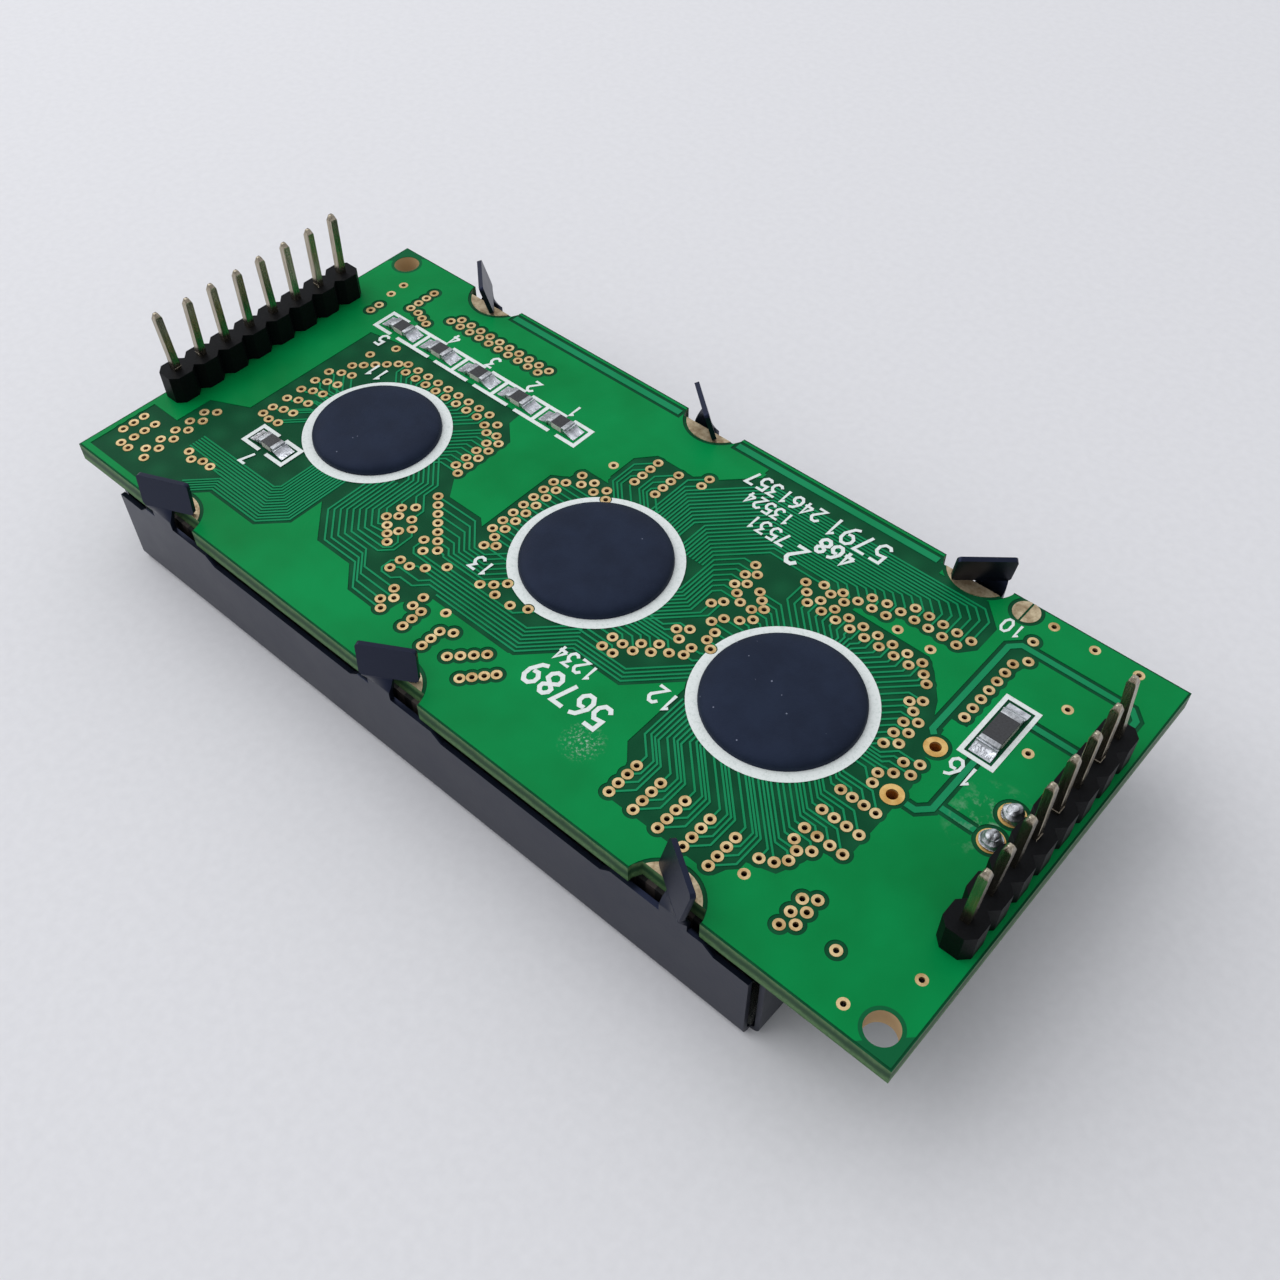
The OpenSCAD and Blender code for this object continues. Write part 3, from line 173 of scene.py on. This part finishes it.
def vectors(tree, operation, *values, output="Vector"):
    return add(tree, "ShaderNodeVectorMath", dict(enumerate(values)),
               operation=operation).outputs[output]


def from_axis(tree, place, x, y):
    """How far a place is from an upright axis, at any height."""
    level = vectors(tree, "MULTIPLY", place, (1, 1, 0))
    return vectors(tree, "DISTANCE", level, (x, y, 0), output="Value")


def facing(tree):
    """How far a flat face looks up (1) or down (-1)."""
    geometry = add(tree, "ShaderNodeNewGeometry", {})
    normal = add(tree, "ShaderNodeSeparateXYZ", {"Vector": geometry.outputs["True Normal"]})
    return normal.outputs["Z"]


# %% [markdown]
# `begin` gives a finish its shader and the object's own coordinates, which are
# metres in the part's frame. A pattern tied to them stays in place from every
# side. `feed` links what was worked out to the shader, and `relief` turns a
# height pattern into fine unevenness of the surface.

# %% Start of a finish, and its end
def begin(name, **sockets):
    material = bpy.data.materials.new(name)
    material.use_nodes = True
    tree = material.node_tree
    shader = tree.nodes["Principled BSDF"]
    for socket, value in sockets.items():
        shader.inputs[socket.replace("_", " ")].default_value = value
    coords = tree.nodes.new("ShaderNodeTexCoord")
    return material, tree, shader, coords.outputs["Object"]


def feed(tree, shader, **sockets):
    for socket, value in sockets.items():
        tree.links.new(value, shader.inputs[socket.replace("_", " ")])


def relief(tree, shader, height, depth_mm, strength=1.0):
    bump = add(tree, "ShaderNodeBump",
               {"Height": height, "Distance": depth_mm * MM, "Strength": strength})
    feed(tree, shader, Normal=bump.outputs["Normal"])


# %% [markdown]
# Solder mask is an epoxy lacquer that is poured or sprayed over the copper and
# baked. Over copper it looks bright, because the metal throws the light back
# through it. It lies slightly wavy, like the skin of an orange, and dust and
# handling leave it a little duller in places.

# %% Solder mask over copper
BARE_RING = 1.42 * MM       # radius round a mounting hole that has no copper
BARE_CORNER = 55.2 * MM     # x less y, from where the corner beyond it has none
BARE_GREEN = colour("#0C6138")
RESIDUE = colour("#B9CBBE")

# flux round the hand soldered leads, and a few fine scuffs: place and reach
# in mm, size of the flecks in mm, and how much the thickest one covers
SOILED = [(35.2, 0, 3.4, 1.2, 0.45), (11.2, -12.8, 1.8, 0.25, 0.9)]
FULL_WITHIN = 0.3           # share of the reach inside which the film is thickest


def bare_at_holes(tree, place):
    """1 where the copper stops short: in a ring round each hole, and beyond it."""
    diagonal = vectors(tree, "DOT_PRODUCT", place, (1, -1, 0), output="Value")
    # turned half a round where x is less than y, so that both holes fall together
    turned = vectors(tree, "MULTIPLY", place, maths(tree, "SIGN", diagonal))
    ring = maths(tree, "LESS_THAN", from_axis(tree, turned, HOLE.x, HOLE.y), BARE_RING)
    corner = maths(tree, "GREATER_THAN", maths(tree, "ABSOLUTE", diagonal), BARE_CORNER)
    return maths(tree, "MAXIMUM", ring, corner)


def mask(name, dark, light, grain_mm=0.5):
    material, tree, shader, place = begin(name, IOR=1.52, Specular_IOR_Level=0.06)
    clouds = cloud(tree, place, 9, 3.0, 0.6)
    shade = blend(tree, bare_at_holes(tree, place),
                  shades(tree, clouds, 0.3, dark, 0.7, light), BARE_GREEN)
    for x, y, reach, fleck, most in SOILED:
        away = vectors(tree, "DISTANCE", place, (x * MM, y * MM, TOP), output="Value")
        near = span(tree, away, reach * FULL_WITHIN * MM, reach * MM, most, 0.0)
        thick = span(tree, cloud(tree, place, fleck, 4.0, 0.7), 0.52, 0.7)
        shade = blend(tree, maths(tree, "MULTIPLY", near, thick), shade, RESIDUE)
    feed(tree, shader, Base_Color=shade, Roughness=span(tree, clouds, 0.3, 0.7, 0.33, 0.42))
    relief(tree, shader, cloud(tree, place, grain_mm), 0.012)
    return material


mask_on_copper = mask("epoxy_solder_mask_over_copper", "#007D3C", "#00904A")
mask_on_trace = mask("epoxy_solder_mask_over_conductors", "#0E8550", "#1C9260", 0.3)

# %% [markdown]
# The board is woven glass in epoxy. Where no copper lies under the mask, the
# light sinks in, and the mask looks dark, with faint patches 3 mm wide from the
# cloth. The routed edge is bare: greyish green glass with a soft band along it.
# The same holds for the wall of a drilled hole without plating, which is browner.

# %% Woven glass board
NEAR_HOLE = 1.5 * MM        # an upright face nearer to a hole's axis is its wall


def laminate():
    material, tree, shader, place = begin("fr4_laminate_masked_with_routed_edge", IOR=1.52,
                                          Roughness=0.42, Specular_IOR_Level=0.06)
    level_face = maths(tree, "GREATER_THAN", maths(tree, "ABSOLUTE", facing(tree)), STEEP)
    patches = [bands(tree, place, 0.45, axis, 0.6, 1.0, 2.0) for axis in ("X", "Y")]
    weave = maths(tree, "MULTIPLY", *patches)
    masked = shades(tree, weave, 0.0, "#074A2C", 1.0, "#0E5634")
    layers = bands(tree, place, 0.2, "Z", 1.2, 2.0, 3.0)
    fuzz = cloud(tree, place, 0.25, 4.0, 0.7)
    routed = shades(tree, maths(tree, "MULTIPLY", layers, fuzz),
                    0.05, "#2A4A30", 0.6, "#5C7E52")
    # folded into one quarter of the board, where one distance finds both holes
    fold = vectors(tree, "ABSOLUTE", place)
    drilled = maths(tree, "LESS_THAN", from_axis(tree, fold, HOLE.x, -HOLE.y), NEAR_HOLE)
    upright = blend(tree, drilled, routed, colour("#C2A67C"))
    feed(tree, shader, Base_Color=blend(tree, level_face, upright, masked))
    relief(tree, shader, fuzz, 0.015)
    return material


board_laminate = laminate()

# %% [markdown]
# Rings of the plated holes are copper under a breath of gold, laid on in a
# bath. The bath leaves a fine matt grain, so they shine softly and look cream
# in white light. The larger lands round the tabs are the same, but scuffed.
# Down in each bore the colour turns dark and loses its metal shine: that is painted shade.

# %% Gold plated copper
# painted shade: from these depths down, a bore is painted in a dark colour without metal shine
BORE_SHADE_FROM = 0.05 * MM    # depth in a bore where it starts to darken
BORE_SHADE_TO = 0.25 * MM      # depth from which it is all dark
GOLD_METAL = 0.7            # share of metal in the shine of the open gold
WORN_ROUGHER = 0.12         # how much rougher the gold is where it is worn


def gilt(name, base, worn, roughness, cloud_mm, bore_shade):
    material, tree, shader, place = begin(name)
    wear = cloud(tree, place, cloud_mm, 4.0, 0.65)
    gold = shades(tree, wear, 0.35, worn, 0.62, base)
    height = add(tree, "ShaderNodeSeparateXYZ", {"Vector": place}).outputs["Z"]
    # painted shade: the bore darkens with depth and its metal shine fades out
    unshaded_top = span(tree, height, TOP - BORE_SHADE_TO, TOP - BORE_SHADE_FROM)
    feed(tree, shader, Base_Color=blend(tree, unshaded_top, colour(bore_shade), gold),
         Metallic=maths(tree, "MULTIPLY", unshaded_top, GOLD_METAL),
         Roughness=span(tree, wear, 0.3, 0.7, roughness + WORN_ROUGHER, roughness))
    relief(tree, shader, wear, 0.02, 0.6)
    return material


# the last colour of each is the painted shade down its bores
hole_gold = gilt("immersion_gold_on_copper", "#DFC594", "#BC9A66", 0.45, 1.2, "#2E1C0E")
spare_gold = gilt("immersion_gold_at_empty_holes", "#E4C07A", "#CCA058", 0.42, 1.2, "#A4621C")
land_gold = gilt("immersion_gold_land_scuffed", "#CDBD9C", "#9A8566", 0.45, 0.8, "#7A6448")

# %% [markdown]
# The white print is epoxy ink pressed through a screen. It is matt, a touch
# uneven where the mesh of the screen dragged it, and it hides the green nearly
# completely.

# %% Screen printed ink
def ink():
    material, tree, shader, place = begin("screen_printed_epoxy_ink", Roughness=0.6,
                                          Specular_IOR_Level=0.3)
    mesh = cloud(tree, place, 0.3, 3.0, 0.7)
    feed(tree, shader, Base_Color=shades(tree, mesh, 0.25, "#CFDAD4", 0.5, "#EAF0ED"))
    relief(tree, shader, mesh, 0.01)
    return material


white_ink = ink()

# %% [markdown]
# Blobs of black epoxy cover the bare chips. The resin was dropped on hot and
# cured: its skin is smooth and satin, with low ripples, a fine grain, and specks
# of dust that it caught.

# %% Black potting epoxy
def potting():
    material, tree, shader, place = begin("black_potting_epoxy_cured", IOR=1.55,
                                          Specular_IOR_Level=0.15,
                                          Specular_Tint=colour("#B4C4FF"))
    ripple = cloud(tree, place, 2.2, 3.0, 0.55)
    body = shades(tree, ripple, 0.35, "#1C2331", 0.65, "#222A3A")
    dust = add(tree, "ShaderNodeTexVoronoi", {"Vector": place, "Scale": every(1.1)})
    # only where a wide cloud is thick, so that the specks lie in loose groups
    reach = span(tree, cloud(tree, place, 3, 1.0), 0.5, 0.62, 0.0, 0.06)
    speck = maths(tree, "LESS_THAN", dust.outputs["Distance"], reach)
    feed(tree, shader, Base_Color=blend(tree, speck, body, colour("#7A8091")),
         Roughness=span(tree, ripple, 0.3, 0.7, 0.5, 0.6))
    grain = cloud(tree, place, 0.12)
    relief(tree, shader, maths(tree, "MULTIPLY_ADD", grain, 0.25, ripple), 0.06)
    return material


epoxy = potting()

# %% [markdown]
# The bezel is thin steel, stamped, folded and coated black. The coat is satin,
# even and slightly blue, with a grain so fine that it only spreads the shine.

# %% Black coated steel
def coated_steel():
    material, tree, shader, place = begin("black_electrocoated_steel_sheet", IOR=1.5,
                                          Specular_IOR_Level=0.4,
                                          Specular_Tint=colour("#A8BAFF"))
    clouds = cloud(tree, place, 4, 5.0, 0.65)
    feed(tree, shader, Base_Color=shades(tree, clouds, 0.3, "#0C0F16", 0.7, "#11151E"),
         Roughness=span(tree, clouds, 0.3, 0.7, 0.28, 0.36))
    relief(tree, shader, cloud(tree, place, 0.3), 0.004)
    return material


bezel_coat = coated_steel()

# %% [markdown]
# Plastics and films differ in what fills them. The pin headers are black nylon
# with glass fibre, dull and faintly speckled. The backlight's tray is white
# ABS. One recipe serves all, with other colours, gloss and grain.

# %% Moulded plastics, resins and films
def moulded(name, dark, light, roughness, grain_mm, depth_mm=0.02, gloss=0.5):
    material, tree, shader, place = begin(name, IOR=1.53, Roughness=roughness,
                                          Specular_IOR_Level=gloss)
    grain = cloud(tree, place, grain_mm, 4.0, 0.7)
    feed(tree, shader, Base_Color=shades(tree, grain, 0.35, dark, 0.7, light))
    relief(tree, shader, grain, depth_mm)
    return material


header_nylon = moulded("black_glass_filled_nylon", "#040507", "#0A0C10", 0.5, 0.2, gloss=0.1)
tray_abs = moulded("white_abs_moulded", "#DEDDD6", "#EFEEE8", 0.4, 0.6)
strip_white = moulded("white_masked_lamp_strip", "#D8D8CE", "#EAEAE2", 0.45, 0.5)
lamp_resin = moulded("yellow_phosphor_resin", "#E5D56A", "#F4EDA6", 0.25, 0.4)
seal_resin = moulded("clear_epoxy_seal", "#A8A698", "#C9C7BA", 0.4, 0.5)
film_polarizer = moulded("triacetate_polarizer_film", "#838F53", "#879357", 0.28, 8.0, 0.005)
film_white = moulded("white_polyester_film", "#E6E6E0", "#F2F2EC", 0.5, 0.4, 0.005)

# %% [markdown]
# Pins and leads are brass with bright tin over it. Rolled wire keeps fine
# lines along its length, and the tin has a warm tone where it is thin.
# Solder is tin melted in place: brighter from the oven, dull from the iron.
# The chips' silicon is polished, and has the same recipe.

# %% Tin, solder and silicon
def tinned(name, dark, light, roughness, cloud_mm, depth_mm, lines=False):
    material, tree, shader, place = begin(name, Metallic=1.0, Roughness=roughness)
    if lines:
        # squeezed along Z, so that the noise draws out into long lines
        place = add(tree, "ShaderNodeMapping",
                    {"Vector": place, "Scale": (1, 1, 0.05)}).outputs["Vector"]
    clouds = cloud(tree, place, cloud_mm, 3.0, 0.6)
    feed(tree, shader, Base_Color=shades(tree, clouds, 0.3, dark, 0.65, light))
    relief(tree, shader, clouds, depth_mm)
    return material


pin_tin = tinned("bright_tin_over_brass_pin", "#857C6C", "#BDB39F", 0.24, 0.1, 0.01, lines=True)
lead_tin = tinned("tinned_lead_wire", "#A9A9AB", "#D6D6D8", 0.3, 0.1, 0.01, lines=True)
solder = tinned("tin_solder_reflowed", "#A4A7AC", "#DADDE2", 0.22, 0.5, 0.08)
dull_solder = tinned("tin_solder_frozen_dull", "#9DA0A4", "#C9CCD0", 0.42, 0.4, 0.05)
cap_tin = tinned("plated_end_cap", "#8F9295", "#C2C5C8", 0.38, 0.25, 0.03)
die_silicon = tinned("polished_silicon", "#4A4B52", "#5E606A", 0.2, 0.3, 0.005)

# %% [markdown]
# A chip resistor is a slip of white alumina with a black glaze on top, so its
# sides are pale and only its face is dark. The shader picks by the direction
# that the face points in.

# %% Glazed resistor
def resistor_finish():
    material, tree, shader, place = begin("black_glaze_on_alumina", Roughness=0.32, IOR=1.55)
    top = maths(tree, "GREATER_THAN", facing(tree), STEEP)
    grain = cloud(tree, place, 0.15, 3.0)
    side = shades(tree, grain, 0.3, "#BDBAB0", 0.7, "#DAD8D0")
    glaze = shades(tree, grain, 0.3, "#17181B", 0.7, "#2A2C30")
    feed(tree, shader, Base_Color=blend(tree, top, side, glaze))
    relief(tree, shader, grain, 0.01)
    return material


resistor_glaze = resistor_finish()

# %% [markdown]
# The display cell is two plates of soda-lime glass with a polarizing film on
# each side. Behind it lie a milky diffuser and a clear acrylic plate that
# carries the light of the lamps across.

# %% Glass and acrylic
def clear(name, tint, ior, roughness, clearness):
    material, tree, shader, place = begin(name, IOR=ior, Roughness=roughness,
                                          Transmission_Weight=clearness)
    smear = cloud(tree, place, 12)
    feed(tree, shader, Base_Color=shades(tree, smear, 0.3, tint, 0.7, "#F4F8F4"))
    return material


cell_glass = clear("soda_lime_glass", "#DDE8DC", 1.52, 0.03, 0.9)
guide_acrylic = clear("cast_acrylic", "#E8F0EE", 1.49, 0.06, 0.85)

# %% [markdown]
# The strips that join the glass to the board are silicone rubber with layers
# of carbon every 0.05 mm, too fine to see. Here they are drawn 1.6 mm apart, so
# that the strip can be told from plain rubber.

# %% Layered rubber strip
def zebra_strip():
    material, tree, shader, place = begin("layered_silicone_rubber", Roughness=0.6, IOR=1.41)
    layers = bands(tree, place, 0.25, "X", 0.2)
    feed(tree, shader, Base_Color=shades(tree, layers, 0.45, "#1C1B1C", 0.55, "#4A4340"))
    relief(tree, shader, layers, 0.01)
    return material


zebra_rubber = zebra_strip()

# %% [markdown]
# Now each CAD node gets its finish by name. Nodes that come in numbers, such
# as pins, share one.

# %% Finishes of the CAD nodes
FINISH = {
    "pcb": board_laminate, "copper_pour": mask_on_copper, "copper_traces": mask_on_trace,
    "via_barrels": hole_gold, "plated_holes": spare_gold, "ground_lands": land_gold,
    "jumper_lands": land_gold, "silkscreen": white_ink, "bezel": bezel_coat,
    "front_polarizer": film_polarizer, "rear_polarizer": film_polarizer,
    "front_glass": cell_glass, "rear_glass": cell_glass, "cell_seal": seal_resin,
    "zebra": zebra_rubber, "diffuser": film_white, "reflector": film_white,
    "light_guide": guide_acrylic, "backlight_frame": tray_abs, "led_strip": strip_white,
    "leds": lamp_resin, "backlight_leads": lead_tin, "backlight_solder": solder,
    "header_solder": solder, "resistor_solder": solder, "resistor_caps": cap_tin,
    "resistor": resistor_glaze, "header_body": header_nylon, "pin": pin_tin,
    "glob": epoxy, "die": die_silicon,
}


def finish_of(node_name):
    stem = max((key for key in FINISH if node_name.startswith(key)), key=len)
    return FINISH[stem]


for node_name, node in nodes.items():
    node.data.materials.clear()
    node.data.materials.append(finish_of(node_name))
print("Finishes set on", len(nodes), "nodes")

# %% [markdown]
# No made thing has a perfectly sharp edge. A stamped sheet is rounded by a few
# hundredths of a millimetre, and a moulded block by a tenth. That thin band
# catches the light and draws the outline. `softened` copies a node, merges its
# triangles into clean faces and bevels what turns by more than 30 degrees.

# %% Broken edges
SAME_POINT = 0.0005 * MM            # corners nearer than this are one
SAME_FACE = math.radians(0.5)       # triangles that turn less than this are one face
SHARP_EDGE = math.radians(30)       # faces that turn more than this meet in an edge


def merged_copy(node_name):
    shape = bmesh.new()
    shape.from_mesh(nodes[node_name].data)
    bmesh.ops.remove_doubles(shape, verts=shape.verts, dist=SAME_POINT)
    bmesh.ops.dissolve_limit(shape, angle_limit=SAME_FACE, verts=shape.verts,
                             edges=shape.edges)
    return shape


def place_piece(name, shape, finish, stands_for, smooth_deg=35):
    mesh = bpy.data.meshes.new(name)
    shape.to_mesh(mesh)
    shape.free()
    mesh.polygons.foreach_set("use_smooth", [True] * len(mesh.polygons))
    mesh.set_sharp_from_angle(angle=math.radians(smooth_deg))
    mesh.materials.append(finish)
    piece = bpy.data.objects.new(name, mesh)
    bpy.context.scene.collection.objects.link(piece)
    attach(piece, "root")
    if stands_for:
        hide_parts(*stands_for)
    return piece


def softened(node_name, width_mm, segments=2):
    shape = merged_copy(node_name)
    sharp = [edge for edge in shape.edges
             if len(edge.link_faces) == 2 and edge.calc_face_angle() > SHARP_EDGE]
    bmesh.ops.bevel(shape, geom=sharp, offset=width_mm * MM, offset_type="OFFSET",
                    affect="EDGES", segments=segments, profile=0.5, material=-1,
                    clamp_overlap=True)
    piece = place_piece(node_name + "_soft", shape, finish_of(node_name), [node_name])
    # wide faces keep their own direction, and only the bevels blend
    piece.modifiers.new("even_faces", "WEIGHTED_NORMAL").keep_sharp = True


softened("bezel", 0.05)
for side in ("left", "right"):
    softened(f"header_body_{side}", 0.08)
    for i in range(1, 9):
        softened(f"pin_{side}_{i}", 0.04, segments=1)
for label in ("1", "2", "3", "4", "5", "f", "6"):
    softened(f"resistor_{label}", 0.03, segments=1)
softened("resistor_caps", 0.05)

# %% [markdown]
# The epoxy drops are round from the CAD part. A real drop has low swells where
# it flowed. The copy is let down by a few hundredths of a millimetre where soft
# noise dips, less and less towards the board, so that the rim stays seated.

# %% Epoxy drops
SWELLS = [(3.5, 0.05), (1.4, 0.02)]     # width and height of the swells, in mm


def drop(node_name, name):
    shape = merged_copy(node_name)
    bmesh.ops.recalc_face_normals(shape, faces=shape.faces)
    low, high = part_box(node_name)
    for vert in shape.verts:
        rise = (vert.co.z - low.z) / (high.z - low.z)
        swell = sum(noise.noise(vert.co * every(width)) * height for width, height in SWELLS)
        vert.co.z += min(swell, 0) * rise * MM
    place_piece(name, shape, epoxy, [node_name], 60)


for i in range(1, 4):
    drop(f"glob_{i}", f"epoxy_drop_{i}")

# %% [markdown]
# The backlight's leads are soldered by hand. Such solder freezes in lumps, not
# in an even dome. The CAD domes are divided finer and pushed in by soft noise,
# and nothing rises past the height of the CAD dome.

# %% Hand soldered joints
def lumps(node_name, name, coarse_mm, depth_mm):
    shape = merged_copy(node_name)
    bmesh.ops.triangulate(shape, faces=shape.faces)
    bmesh.ops.subdivide_edges(shape, edges=shape.edges, cuts=2, use_grid_fill=True)
    bmesh.ops.smooth_vert(shape, verts=shape.verts, factor=0.5,
                          use_axis_x=True, use_axis_y=True, use_axis_z=True)
    low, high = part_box(node_name)
    shape.normal_update()
    pushes = [(noise.noise(vert.co * every(coarse_mm)) - 0.5) * depth_mm * MM
              for vert in shape.verts]
    for vert, push in zip(shape.verts, pushes):
        if vert.co.z > TOP:
            vert.co += vert.normal * push
            vert.co.z = min(max(vert.co.z, TOP), high.z)
    place_piece(name, shape, dull_solder, [node_name], 80)


lumps("backlight_solder", "hand_solder", 0.9, 0.35)

# %% [markdown]
# The print carries plain numbers beside the parts. Each digit is a few straight
# strokes on a grid 2 wide and 4 high, as a pen plotter would draw it, and each
# stroke is a ribbon of ink with mitred corners. They read from the far side.

# %% Plain numbers in the print
STROKES = {
    "0": [[(0, 1), (0, 3), (0.6, 4), (1.4, 4), (2, 3), (2, 1), (1.4, 0), (0.6, 0), (0, 1)]],
    "1": [[(0.4, 3.2), (1.1, 4), (1.1, 0)]],
    "2": [[(0, 3.2), (0.6, 4), (1.4, 4), (2, 3.2), (2, 2.6), (0, 0), (2, 0)]],
    "3": [[(0, 4), (2, 4), (1, 2.5), (1.5, 2.4), (2, 1.7), (2, 0.8), (1.4, 0), (0.6, 0),
           (0, 0.6)]],
    "4": [[(1.5, 0), (1.5, 4), (0, 1.2)], [(0, 1.2), (2.1, 1.2)]],
    "5": [[(2, 4), (0.2, 4), (0.1, 2.3), (1.4, 2.5), (2, 1.8), (2, 0.8), (1.4, 0), (0.5, 0),
           (0, 0.6)]],
    "6": [[(1.8, 4), (0.9, 3.6), (0, 2), (0, 0.8), (0.6, 0), (1.4, 0), (2, 0.7), (2, 1.5),
           (1.4, 2.2), (0.6, 2.1)]],
    "7": [[(0, 4), (2, 4), (0.8, 0)]],
    "8": [[(1, 2.2), (0.2, 2.8), (0.2, 3.4), (0.7, 4), (1.3, 4), (1.8, 3.4), (1.8, 2.8), (1, 2.2)],
          [(1, 2.2), (0, 1.5), (0, 0.7), (0.6, 0), (1.4, 0), (2, 0.7), (2, 1.5), (1, 2.2)]],
    "9": [[(0.2, 0), (1.1, 0.4), (2, 2), (2, 3.2), (1.4, 4), (0.6, 4), (0, 3.3), (0, 2.5),
           (0.6, 1.8), (1.4, 1.9)]],
}

MITRE_LIMIT = 0.6           # keeps the rim near the path where a corner is sharp
LOOP_GAP = 0.001 * MM       # a path whose ends are nearer than this is a loop
LOWER_STROKE = 0.004 * MM   # a second stroke lies lower, so crossing faces don't flicker


def sideways(path, width):
    """How far each point of a path moves to reach the rim, mitred at corners."""
    looped = (path[0] - path[-1]).length < LOOP_GAP
    shifts = []
    for i, point in enumerate(path):
        back = point - path[i - 1] if i else (point - path[-2] if looped else None)
        last = i + 1 == len(path)
        ahead = path[i + 1] - point if not last else (path[1] - point if looped else None)
        back, ahead = (back or ahead).normalized(), (ahead or back).normalized()
        side = (back + ahead).normalized().orthogonal()
        shifts.append(side * width / 2 / max(side.dot(ahead.orthogonal()), MITRE_LIMIT))
    return shifts


def ribbon(shape, path, width, low_z, high_z):
    """Adds one stroke: one rim as a wire, drawn across to the other, then raised."""
    shifts = sideways(path, width)
    rim = [shape.verts.new((*(point - shift), low_z)) for point, shift in zip(path, shifts)]
    wire = [shape.edges.new(pair) for pair in zip(rim, rim[1:])]
    flat = bmesh.ops.extrude_edge_only(shape, edges=wire)["geom"]
    place_of = {vert: i for i, vert in enumerate(rim)}
    for vert in (item for item in flat if isinstance(item, bmesh.types.BMVert)):
        start = next(edge.other_vert(vert) for edge in vert.link_edges
                     if edge.other_vert(vert) in place_of)
        vert.co.xy += shifts[place_of[start]] * 2
    faces = [item for item in flat if isinstance(item, bmesh.types.BMFace)]
    raised = bmesh.ops.extrude_face_region(shape, geom=faces)["geom"]
    lifted = [item for item in raised if isinstance(item, bmesh.types.BMVert)]
    bmesh.ops.translate(shape, verts=lifted, vec=(0, 0, high_z - low_z))


INK_LOW, INK_HIGH = [corner.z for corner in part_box("silkscreen")]


def print_number(shape, digits, centre, height, stroke):
    """Prints digits upside down about a centre, all in mm."""
    unit = height / 4
    step = 3 * unit
    left = -(len(digits) * step - unit) / 2
    for column, digit in enumerate(digits):
        for turn, path in enumerate(STROKES[digit]):
            points = [Vector((centre[0] - left - column * step - x * unit,
                              centre[1] + height / 2 - y * unit)) * MM for x, y in path]
            ribbon(shape, points, stroke * MM, INK_LOW, INK_HIGH - LOWER_STROKE * turn)


# digits, centre, height and stroke in mm
LABELS = [
    ("1", (-12.2, 11.4), 1.3, 0.24), ("2", (-17, 11.4), 1.3, 0.24),
    ("3", (-21.8, 11.4), 1.3, 0.24), ("4", (-26.6, 11.4), 1.3, 0.24),
    ("5", (-31.4, 7.2), 1.3, 0.24), ("7", (-28.2, -10), 1.3, 0.24),
    ("16", (31.7, 1.95), 1.6, 0.24), ("11", (-28.4, 4), 1.4, 0.26),
    ("13", (-5.5, -5.9), 1.3, 0.24), ("12", (12.9, -6.4), 1.5, 0.26),
    ("10", (27.6, 14.9), 1.25, 0.2), ("1234", (6.2, -8.1), 1.25, 0.24),
    ("56789", (7.6, -10.55), 2.0, 0.34), ("2461357", (7.1, 14.9), 1.4, 0.24),
    ("13524", (6.9, 13), 1.2, 0.22), ("7531", (8.4, 11.1), 1.3, 0.22),
    ("5791", (14.1, 14.75), 1.9, 0.26), ("468", (13.6, 12.55), 1.5, 0.3),
    ("2", (11.5, 10.4), 1.9, 0.34),
]
print_shape = bmesh.new()
for digits, centre, height, stroke in LABELS:
    print_number(print_shape, digits, centre, height, stroke)
bmesh.ops.recalc_face_normals(print_shape, faces=print_shape.faces)
print("Ink numbers:", len(print_shape.faces), "faces")
place_piece("ink_numbers", print_shape, white_ink, [])

# %% [markdown]
# A pale sheet of paper lies under the module. It is a plain plane, far wider
# than the view, with a faint tooth.

# %% Floor
def paper():
    material, tree, shader, place = begin("pale_matt_paper", Roughness=0.85)
    tooth = cloud(tree, place, 0.8, 3.0)
    feed(tree, shader, Base_Color=shades(tree, tooth, 0.3, "#E4E4E6", 0.7, "#E8E8EA"))
    return material


floor_shape = bmesh.new()
bmesh.ops.create_grid(floor_shape, x_segments=1, y_segments=1, size=2)      # 4 m wide
floor_mesh = bpy.data.meshes.new("floor")
floor_shape.to_mesh(floor_mesh)
floor_shape.free()
floor_mesh.materials.append(paper())
floor = bpy.data.objects.new("floor", floor_mesh)
bpy.context.scene.collection.objects.link(floor)

# %% [markdown]
# Daylight from a window at the left does most of the work: it lays a sheen over
# the far end of the board and a soft shadow on the right. A weak second sheet
# of light fills in from the back, and the pale room evens out the rest.

# %% Light
def sheet_of_light(name, place, size, watts, tint):
    """A square lamp, in metres, that faces the part."""
    lamp = bpy.data.lights.new(name, "AREA")
    lamp.shape = "SQUARE"
    lamp.size = size
    lamp.energy = watts
    lamp.color = colour(tint)[:3]
    holder = bpy.data.objects.new(name, lamp)
    holder.location = place
    holder.rotation_euler = (-Vector(place)).to_track_quat("-Z", "Y").to_euler()
    bpy.context.scene.collection.objects.link(holder)


sheet_of_light("window", (-0.42, -0.12, 0.5), 0.8, 2.8, "#FCFDFF")
sheet_of_light("back_fill", (-0.1, 0.5, 0.5), 0.6, 0.5, "#F8FAFF")

world = bpy.data.worlds.new("pale_room")
world.use_nodes = True
backdrop = world.node_tree.nodes["Background"]
backdrop.inputs["Color"].default_value = colour("#E4E5EA")
backdrop.inputs["Strength"].default_value = 0.68
bpy.context.scene.world = world
